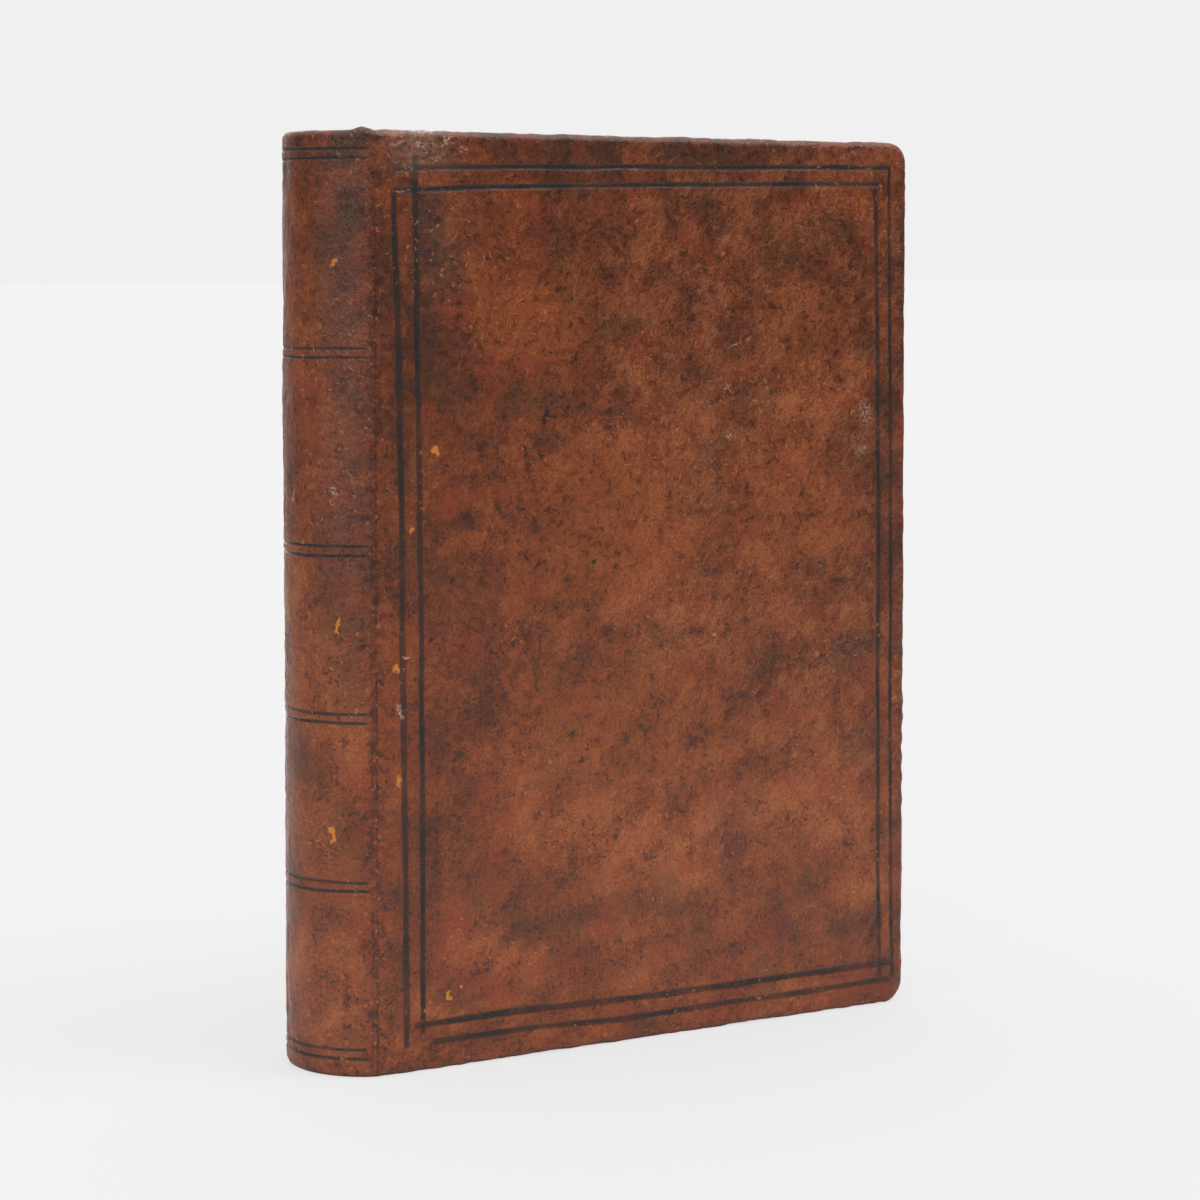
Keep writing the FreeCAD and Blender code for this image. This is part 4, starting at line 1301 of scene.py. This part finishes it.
@dataclass
class SpineSkin:
    """The calf over the rounded spine, with its two caps and the lines across it."""

    sizes: BookSizes
    leather: bpy.types.Material
    line_heights: tuple[float, ...] = (195.05, 153.3, 111.8, 76.5, 40.7, 5.0)
    line_pitch: float = 1.95
    line_width: float = 0.74
    line_depth: float = 0.22
    cap_round: float = 1.5
    cap_inner: float = 0.4
    cap_depth: float = 3.4
    cap_drop: float = 1.0

    def build(self) -> bpy.types.Object:
        """Makes the spine's skin."""
        high, radius, reach = self.sizes.height, self.sizes.radius, self.sizes.reach
        wrap = math.pi * (self.cap_round + self.cap_inner) / 2.0
        wrap += self.cap_depth - self.cap_round - self.cap_inner + self.cap_drop
        dense = [(place, 2.0, 0.16) for place in self.line_heights]
        dense.append((self.cap_round - wrap / 2, wrap / 2 + 0.3, 0.34))
        dense.append((high - self.cap_round + wrap / 2, wrap / 2 + 0.3, 0.34))
        rows = spaced(self.cap_round - wrap, high - self.cap_round + wrap, 0.85, dense)
        slack = 0.20
        columns = spaced(slack, self.sizes.spine_length - slack, 0.46, [])
        run, b = np.meshgrid(columns, rows)
        u = -run
        turned = reach - run / radius
        base = np.clip(b, self.cap_round, high - self.cap_round)
        gone = np.abs(b - base)
        out, down = wrap_profile(gone, self.cap_round, self.cap_inner, self.cap_depth)
        z = base + np.sign(b - base) * out
        edge_dip = np.exp(-(np.minimum(run, self.sizes.spine_length - run) - slack) / 0.35)
        swell = 0.16 * rough_field(u, b, (16.0, 22.0), 5.0, 3)
        swell += 0.09 * rough_field(u, b, (2.6, 3.2), 9.0, 3)
        wrinkled = np.exp(-(((u + 29.0) / 7.0) ** 2))
        swell += 0.36 * wrinkled * rough_field(u, b, (1.6, 6.0), 15.0, 3)
        swell += 0.13 * np.exp(-(((u + 6.0) / 5.0) ** 2)) * rough_field(u, b, (1.5, 3.0), 19.0, 3)
        grooves, ink = np.zeros_like(b), np.zeros_like(b)
        order = 0
        for place in self.line_heights:
            for half in (-0.5, 0.5):
                order += 1
                across = place + half * self.line_pitch
                tilt = 0.25 * math.sin(order * 2.3)
                stations = ((1.4, across + tilt * 0.4), (21.0, across), (40.8, across - tilt))
                line = ToolLine(Along.LEVEL, stations, self.line_width, self.line_depth, 60.0 + order)
                groove, black = line.masks(run, b)
                grooves = np.maximum(grooves, groove)
                ink = np.maximum(ink, black)
        bump = 0.75 * np.exp(-(((u + 2.6) / 1.7) ** 2)) * smooth(b, high - 3.5, high - 0.5)
        lumps = 0.16 * rough_field(u, b * 0.0, (4.0, 1.0), 23.0, 3)
        z = z + np.where(b > high / 2, bump + lumps * smooth(b, high - 3.0, high), 0.0)
        z = np.maximum(z, 0.02)
        r = radius - down + swell * smooth(gone, 2.0, 0.5) - grooves - 0.25 * edge_dip
        centre = self.sizes.spine_x + radius
        points = np.stack([centre - r * np.cos(turned), -r * np.sin(turned), z], axis=-1)
        worn = smooth(gone, 0.0, 1.2)
        worn = np.maximum(worn, 0.7 * np.exp(-((run - 1.2) ** 2) / 2.0**2))
        worn = np.maximum(worn, 0.8 * np.exp(-((b - high) ** 2) / 3.0**2))
        worn = np.maximum(worn, 0.6 * np.exp(-(b**2) / 3.0**2))
        grime = 0.75 * np.exp(-(((run - 5.0) / 4.0) ** 2)) * smooth(b, 90.0, 130.0)
        beside_joint = np.exp(-(((u + 6.5) / 5.0) ** 2)) * smooth(b, 70.0, 120.0)
        gloss = np.maximum(1.1 * wrinkled * np.exp(-(((b - 88.0) / 52.0) ** 2)), 0.8 * beside_joint)
        # painted reflection: a pale band down the middle height of the spine, where its curve turns away,
        # standing for grazing gloss
        painted_sheen = 0.62 * np.exp(-(((u + 30.5) / 4.2) ** 2)) * np.exp(-(((b - 86.0) / 40.0) ** 2))
        crumple = np.maximum(0.6 * wrinkled, 1.4 * beside_joint) + 0.30
        marks = soft_marks(u, b)
        # painted shade: a dark line, broken along the height, laid where the spine's edge dives into the
        # joint
        broken = 0.6 + 0.6 * rough_field(u * 0.0, b, (1.0, 7.0), 95.0, 3)
        crease_shade = np.exp(-(((u + 0.8) / 0.40) ** 2)) * broken
        marks["stain_and_crease_shade"] = np.maximum(marks["stain_and_crease_shade"], np.clip(crease_shade, 0.0, 1.0))
        piece = grid_object(
            "spine_calf",
            points,
            self.leather,
            uv=np.stack([u, b], axis=-1) / SKIN_SPAN,
            attributes={
                "ink": ink,
                "worn": worn,
                "grime": grime,
                "gloss": gloss,
                "painted_sheen": painted_sheen,
                "crumple": crumple,
                "creased": np.full_like(b, 0.2),
                **marks,
            },
            flipped=True,
        )
        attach(piece, "book_block")
        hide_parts("spine_leather", "spine_tooled_lines")
        return piece


# leaves and endbands


@dataclass
class Leaves:
    """The cut edges of the sewn leaves, at head, fore-edge and tail, and the backed spine.

    Attributes:
        sizes: the part's sizes.
        paper: material of the cut edges.
        flat_half: half the thickness of the leaves away from the shoulders.
        hollow: depth of the fore-edge's hollow.
        gatherings: how many sewn gatherings show at head and tail.
    """

    sizes: BookSizes
    paper: bpy.types.Material
    flat_half: float = 11.78
    hollow: float = 4.0
    lining: float = 1.3
    gatherings: int = 13

    def outline(self, t: Field, s: Field) -> tuple[Field, Field]:
        """Where leaf t lies a share s of the way from spine to fore-edge."""
        back_radius = self.sizes.radius - self.lining
        centre = self.sizes.spine_x + self.sizes.radius
        shoulder = self.sizes.joint_x - 0.15
        back_half = math.sqrt(back_radius**2 - (centre - shoulder) ** 2)
        angle = t * math.asin(back_half / back_radius)
        back_x = centre - back_radius * np.cos(angle)
        fore_x = self.sizes.block_high[0]
        fore_radius = (self.flat_half**2 + self.hollow**2) / (2.0 * self.hollow)
        flat_y = self.flat_half * t
        inward = np.sqrt(np.maximum(fore_radius**2 - flat_y**2, 0.0))
        end_x = fore_x - self.hollow + fore_radius - inward
        x = back_x + s * (end_x - back_x)
        flare = np.exp(-np.clip(x - back_x, 0.0, None) / 3.2)
        y = flat_y + flare * (back_radius * np.sin(angle) - flat_y)
        limit = np.where(x > shoulder, self.flat_half, 99.0)
        return x, np.clip(y, -limit, limit)

    def build(self) -> bpy.types.Object:
        """One sheet that runs over head, fore-edge and tail."""
        low, high = self.sizes.block_low[2], self.sizes.block_high[2]
        across = np.linspace(-1.0, 1.0, 236)
        run_in = np.concatenate([np.linspace(0.0, 0.12, 14)[:-1], np.linspace(0.12, 1.0, 40)])
        fore = np.linspace(0.0, 1.0, 90)[1:-1]
        s = np.concatenate([run_in, np.ones_like(fore), run_in[::-1]])
        fall = np.concatenate([np.zeros_like(run_in), fore, np.ones_like(run_in)])
        t, s_grid = np.meshgrid(across, s)
        fall_grid = np.repeat(fall[:, None], len(across), axis=1)
        x, y = self.outline(t, s_grid)
        z = high - (high - low) * fall_grid
        leaf = lattice_noise(t * 118.0, t * 0.0 + 0.5, 3.0)
        bundle = np.floor((t + 1.0) / 2.0 * self.gatherings)
        step = lattice_noise(bundle * 1.7, bundle * 0.0, 8.0)
        within = (t + 1.0) / 2.0 * self.gatherings - bundle
        crown = np.sin(np.pi * within)
        ragged = 0.09 * leaf + 0.14 * step + 0.10 * crown - 0.16
        wander = 0.08 * rough_field(x, y * 6.0, (24.0, 6.0), 21.0, 2)
        on_fore = (fall_grid > 0) & (fall_grid < 1)
        at_edge = smooth(np.abs(t), 1.0, 0.985)
        wave = 0.09 * rough_field(y * 6.0, z, (7.0, 60.0), 25.0, 2)
        x = x + np.where(on_fore, (ragged + wave) * at_edge, 0.0)
        z = z + np.where(fall_grid == 0, ragged + wander, 0.0) * at_edge
        z = z - np.where(fall_grid == 1, ragged + wander, 0.0) * at_edge
        points = np.stack([x, y, z], axis=-1)
        uv = np.stack([(t + 1.0) / 2.0, s_grid * 0.6 + fall_grid * 0.4], axis=-1)
        normal = surface_normals(points)
        piece = grid_object("leaf_edges", points, self.paper, uv=uv, flipped=normal[10, 118, 2] < 0)
        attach(piece, "book_block")
        return piece


@dataclass
class Endband:
    """Thread wound round a core at one end of the leaves.

    Attributes:
        node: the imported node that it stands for.
        sizes: the part's sizes.
        thread: its material.
    """

    node: str
    sizes: BookSizes
    thread: bpy.types.Material
    turns: int = 44

    def build(self) -> bpy.types.Object:
        """A tube with a rib for each turn of thread."""
        low, high = (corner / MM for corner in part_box(self.node))
        wrap = (high.z - low.z) / 2.0
        height = (high.z + low.z) / 2.0
        centre = self.sizes.spine_x + self.sizes.radius
        path_radius = self.sizes.radius - 0.9 - wrap - 0.03
        shoulder = centre - self.sizes.joint_x + 0.15
        span = math.acos(shoulder / (path_radius - wrap))
        along = np.linspace(-1.0, 1.0, self.turns * 7 + 1)
        around = np.linspace(0.0, 2.0 * math.pi, 25)
        t, turn = np.meshgrid(along, around)
        lean = turn / (2.0 * math.pi)
        rib = np.abs(np.sin(math.pi * ((t + 1.0) / 2.0 * self.turns + lean)))
        section = wrap - 0.16 + 0.14 * np.sqrt(rib)
        r = path_radius + section * np.cos(turn)
        z = height + section * np.sin(turn)
        angle = t * span
        points = np.stack([centre - r * np.cos(angle), -r * np.sin(angle), z], axis=-1)
        uv = np.stack([(t + 1.0) / 2.0 + lean / self.turns, turn / 6.3], axis=-1)
        piece = grid_object(f"{self.node}_wound", points, self.thread, uv=uv)
        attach(piece, "book_block")
        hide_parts(self.node)
        return piece


def endpaper_hinge(side: Side, sizes: BookSizes, paper: bpy.types.Material) -> bpy.types.Object:
    """The fold of the endpaper, from the flyleaf over the joint to the pastedown."""
    sign = -1.0 if side is Side.FRONT else 1.0
    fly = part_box(f"{side.value}_flyleaf")
    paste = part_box(f"{side.value}_pastedown")
    fly_y = max(abs(corner.y) for corner in fly) / MM + 0.03
    paste_y = min(abs(corner.y) for corner in paste) / MM - 0.03
    near = sizes.joint_x + 0.1
    stations = [(near + 5.0, fly_y), (near, fly_y), (near + 0.05, paste_y), (near + 5.0, paste_y)]
    heights = np.linspace(4.4, sizes.height - 4.4, 60)
    points = np.zeros((len(heights), len(stations), 3))
    for column, (x, y) in enumerate(stations):
        points[:, column] = np.stack([heights * 0 + x, heights * 0 + sign * y, heights], axis=-1)
    piece = grid_object(f"{side.value}_endpaper_fold", points, paper)
    for face in piece.data.polygons:
        face.use_smooth = False
    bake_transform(piece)
    return piece


# stage


@dataclass(frozen=True)
class Studio:
    """Floor, surroundings, lights and camera, fitted to the photograph.

    Attributes:
        backdrop: sRGB hex of the background.
        camera_offset: camera from the front joint line at tail height, in millimetres.
        aim: level direction that it looks in.
        lens: focal length in millimetres on a 36 mm sensor.
        tilt: how far it looks down, in degrees.
        shift_y: how far the lens is shifted, as a share of the picture's width.
    """

    backdrop: str = "f0f0f0"
    camera_offset: tuple[float, float, float] = (-315.9, -600.9, 171.5)
    aim: tuple[float, float] = (0.5255, 0.8508)
    lens: float = 97.2
    tilt: float = 3.0
    shift_y: float = -0.1365
    floor_albedo: float = 0.528
    floor_near: float = 0.66
    floor_far: float = 0.05
    shadow_share: float = 0.26
    sky_low: float = 0.07
    sky_high: float = 1.7
    fill_from: tuple[float, float, float] = (-0.80, -0.25, 0.70)
    fill: float = 0.70
    sweep: float = 2.1
    key_power: float = 1.15
    kicker_power: float = 0.60

    def build_floor(self) -> bpy.types.Object:
        """A wide pale floor; away from the book it sends less light to anything but the camera."""
        shape = bmesh.new()
        bmesh.ops.create_grid(shape, x_segments=4, y_segments=4, size=30.0)
        mesh = bpy.data.meshes.new("floor")
        shape.to_mesh(mesh)
        shape.free()
        s = Shader.new("pale_floor")
        place = s.place()
        distance = s.add("ShaderNodeVectorMath", {0: place}, operation="LENGTH").outputs["Value"]
        far = s.ramp(distance, 150.0, 1150.0)
        seen_colour = (self.floor_albedo,) * 3 + (1.0,)
        near_colour = (self.floor_near,) * 3 + (1.0,)
        far_colour = (self.floor_far,) * 3 + (1.0,)
        bounced = s.blend(far, near_colour, far_colour)
        unseen = s.add("ShaderNodeBsdfDiffuse", {"Color": bounced}).outputs["BSDF"]
        lit = s.add("ShaderNodeBsdfDiffuse", {"Color": seen_colour}).outputs["BSDF"]
        even = s.add("ShaderNodeEmission", {"Color": srgb(self.backdrop)}).outputs["Emission"]
        seen = s.add("ShaderNodeMixShader", {0: self.shadow_share, 1: even, 2: lit}).outputs[0]
        camera_ray = s.add("ShaderNodeLightPath").outputs["Is Camera Ray"]
        floor_mix = s.add("ShaderNodeMixShader", {0: camera_ray, 1: unseen, 2: seen})
        s.add("ShaderNodeOutputMaterial", {"Surface": floor_mix.outputs[0]})
        mesh.materials.append(s.material)
        floor = bpy.data.objects.new("floor", mesh)
        bpy.context.scene.collection.objects.link(floor)
        return floor

    def build_world(self) -> None:
        """A studio that is bright overhead and to the left, and dim in front."""
        world = bpy.data.worlds.new("studio")
        bpy.context.scene.world = world
        world.use_nodes = True
        tree = world.node_tree
        tree.nodes.clear()

        def add(kind: str, inputs: dict, **settings) -> bpy.types.Node:
            node = tree.nodes.new(kind)
            for key, value in settings.items():
                setattr(node, key, value)
            for key, value in inputs.items():
                if isinstance(value, bpy.types.NodeSocket):
                    tree.links.new(value, node.inputs[key])
                else:
                    node.inputs[key].default_value = value
            return node

        direction = add("ShaderNodeTexCoord", {}).outputs["Generated"]
        up = add("ShaderNodeSeparateXYZ", {0: direction}).outputs["Z"]

        def rise(value, low: float, high: float, most: float):
            inputs = {"Value": value, "From Min": low, "From Max": high, "To Max": most}
            return add("ShaderNodeMapRange", inputs, interpolation_type="SMOOTHSTEP").outputs["Result"]

        def toward(aim: tuple[float, float, float]):
            inputs = {0: direction, 1: Vector(aim).normalized()}
            return add("ShaderNodeVectorMath", inputs, operation="DOT_PRODUCT").outputs["Value"]

        def combine(operation: str, first, second):
            return add("ShaderNodeMath", {0: first, 1: second}, operation=operation).outputs[0]

        overhead = rise(up, 0.30, 0.92, self.sky_high)
        fill = rise(toward(self.fill_from), 0.62, 0.96, self.fill)
        behind = rise(toward((self.aim[0], self.aim[1], 0.0)), 0.52, 0.88, self.sweep)
        behind = combine("MULTIPLY", behind, rise(up, 0.75, 0.30, 1.0))
        total = combine("ADD", combine("ADD", overhead, fill), combine("ADD", behind, self.sky_low))
        light = add("ShaderNodeBackground", {"Color": (1, 1, 1, 1), "Strength": total})
        seen = add("ShaderNodeBackground", {"Color": srgb(self.backdrop), "Strength": 1.0})
        path = add("ShaderNodeLightPath", {}).outputs["Is Camera Ray"]
        mix = add("ShaderNodeMixShader", {0: path, 1: light.outputs[0], 2: seen.outputs[0]})
        add("ShaderNodeOutputWorld", {"Surface": mix.outputs[0]})

    def build_light(self, name: str, power: float, spread: float, toward: tuple) -> None:
        """One distant soft light.

        Args:
            name: its name.
            power: its strength.
            spread: how wide it looks, in degrees.
            toward: the way that its light travels.
        """
        data = bpy.data.lights.new(name, "SUN")
        data.energy = power
        data.angle = math.radians(spread)
        lamp = bpy.data.objects.new(name, data)
        lamp.rotation_mode = "QUATERNION"
        lamp.rotation_quaternion = Vector(toward).normalized().to_track_quat("-Z", "Y")
        bpy.context.scene.collection.objects.link(lamp)

    def build_camera(self, sizes: BookSizes) -> None:
        """A camera that looks slightly down, with its lens shifted down as well."""
        data = bpy.data.cameras.new("camera")
        data.lens = self.lens
        data.sensor_width = 36.0
        data.shift_y = self.shift_y
        data.clip_start, data.clip_end = 0.05, 100.0
        camera = bpy.data.objects.new("camera", data)
        away = self.camera_offset
        camera.location = (
            (sizes.joint_x + away[0]) * MM,
            (-sizes.half + away[1]) * MM,
            away[2] * MM,
        )
        camera.rotation_euler = (
            math.radians(90.0 - self.tilt),
            0.0,
            -math.atan2(self.aim[0], self.aim[1]),
        )
        bpy.context.scene.collection.objects.link(camera)
        bpy.context.scene.camera = camera

    def build(self, sizes: BookSizes) -> None:
        """Makes the whole stage."""
        self.build_floor()
        self.build_world()
        self.build_light("key", self.key_power, 38.0, (-0.62, 0.50, -0.95))
        self.build_light("kicker", self.kicker_power, 14.0, (0.36, 0.55, -0.95))
        self.build_camera(sizes)


# the book

FRONT_LINES = [
    ToolLine(Along.LEVEL, ((4.2, 191.8), (25.0, 192.5), (70.0, 193.3), (133.5, 194.1)), 1.35, 0.26, 1.0),
    ToolLine(Along.LEVEL, ((4.2, 187.3), (25.0, 188.3), (70.0, 189.3), (131.0, 190.4)), 1.35, 0.26, 2.0),
    ToolLine(Along.LEVEL, ((8.6, 10.0), (35.0, 10.2), (75.0, 9.4), (135.7, 9.6)), 1.5, 0.24, 3.0),
    ToolLine(Along.LEVEL, ((12.8, 6.1), (35.0, 6.1), (60.0, 5.2), (134.4, 5.6)), 1.35, 0.24, 4.0),
    ToolLine(
        Along.UPRIGHT,
        ((5.4, 7.0), (36.0, 6.9), (90.0, 6.4), (122.0, 6.2), (153.0, 5.6), (187.4, 4.5)),
        1.5, 0.24, 5.0,
    ),
    ToolLine(
        Along.UPRIGHT,
        ((8.0, 11.0), (36.0, 11.0), (90.0, 10.8), (122.0, 10.6), (153.0, 10.0), (196.0, 9.6)),
        1.35, 0.24, 6.0,
    ),
    ToolLine(
        Along.UPRIGHT,
        ((5.1, 131.7), (30.0, 131.0), (120.0, 130.8), (160.0, 130.2), (189.5, 129.7)),
        1.15, 0.26, 7.0,
    ),
    ToolLine(
        Along.UPRIGHT,
        ((6.0, 135.4), (30.0, 134.6), (120.0, 134.3), (160.0, 133.8), (195.0, 133.5)),
        0.95, 0.26, 8.0,
    ),
]
BACK_LINES = [
    ToolLine(Along.LEVEL, ((4.6, 193.4), (134.5, 192.9)), 1.35, 0.26, 31.0),
    ToolLine(Along.LEVEL, ((4.8, 189.3), (131.0, 188.7)), 1.35, 0.26, 32.0),
    ToolLine(Along.LEVEL, ((5.0, 10.6), (135.0, 10.0)), 1.4, 0.24, 33.0),
    ToolLine(Along.LEVEL, ((4.5, 6.4), (134.0, 5.9)), 1.35, 0.24, 34.0),
    ToolLine(Along.UPRIGHT, ((5.0, 5.9), (90.0, 6.1), (195.0, 5.6)), 1.35, 0.24, 35.0),
    ToolLine(Along.UPRIGHT, ((8.5, 10.1), (90.0, 10.2), (192.0, 9.7)), 1.35, 0.24, 36.0),
    ToolLine(Along.UPRIGHT, ((5.1, 129.9), (190.0, 130.3)), 1.15, 0.26, 37.0),
    ToolLine(Along.UPRIGHT, ((6.0, 133.9), (194.0, 134.2)), 1.1, 0.26, 38.0),
]


def dress_packed_nodes(nodes: dict[str, bpy.types.Object]) -> None:
    """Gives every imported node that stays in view, or lies hidden inside, its own material."""
    finish = PaperFinish()
    endpaper = paper_material("aged_endpaper", finish, True)
    paper = paper_material("aged_leaf", finish, False)
    board = plain_material("pasteboard", "5d4d35", "8d7853", 1.5, 0.9)
    hemp = plain_material("hemp_cord", "6b5433", "a98c5c", 0.4, 0.9)
    linen = plain_material("linen_thread", "93805c", "c7b68e", 0.3, 0.8)
    lining = plain_material("glued_lining", "6f5632", "a08453", 2.5, 0.8)
    chosen = {"flyleaf": endpaper, "pastedown": endpaper, "text_block": paper, "board": board}
    chosen.update({"support": hemp, "slips": hemp, "core": hemp, "sewing_thread": linen})
    chosen["lining"] = lining
    for name, node in nodes.items():
        for part, material in chosen.items():
            if part in name:
                node.data.materials.clear()
                node.data.materials.append(material)
                LOG.info("%s keeps its packed shape", name)
                break


def main() -> None:
    """Builds the whole scene."""
    logging.basicConfig(level=logging.INFO, format="%(name)s: %(message)s")
    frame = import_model()
    sizes = BookSizes.read()
    view = bpy.context.scene.view_settings
    view.view_transform = "Standard"
    dress_packed_nodes(frame["nodes"])
    marked = calf_material("marked_calf", CalfFinish(), True)
    plain = calf_material("plain_calf", CalfFinish(), False)
    SpineSkin(sizes, marked).build()
    CoverSkin(Side.FRONT, sizes, marked, FRONT_LINES, 3.0).build()
    CoverSkin(Side.BACK, sizes, plain, BACK_LINES, 83.0).build()
    Leaves(sizes, leaf_edge_material("cut_leaf_edges", PaperFinish())).build()
    thread = wound_thread_material("endband_thread")
    for node in ("head_endband_thread", "tail_endband_thread"):
        Endband(node, sizes, thread).build()
    fold = paper_material("endpaper_fold", PaperFinish(), False)
    for side in Side:
        endpaper_hinge(side, sizes, fold)
    Studio().build(sizes)


if __name__ == "__main__":
    main()
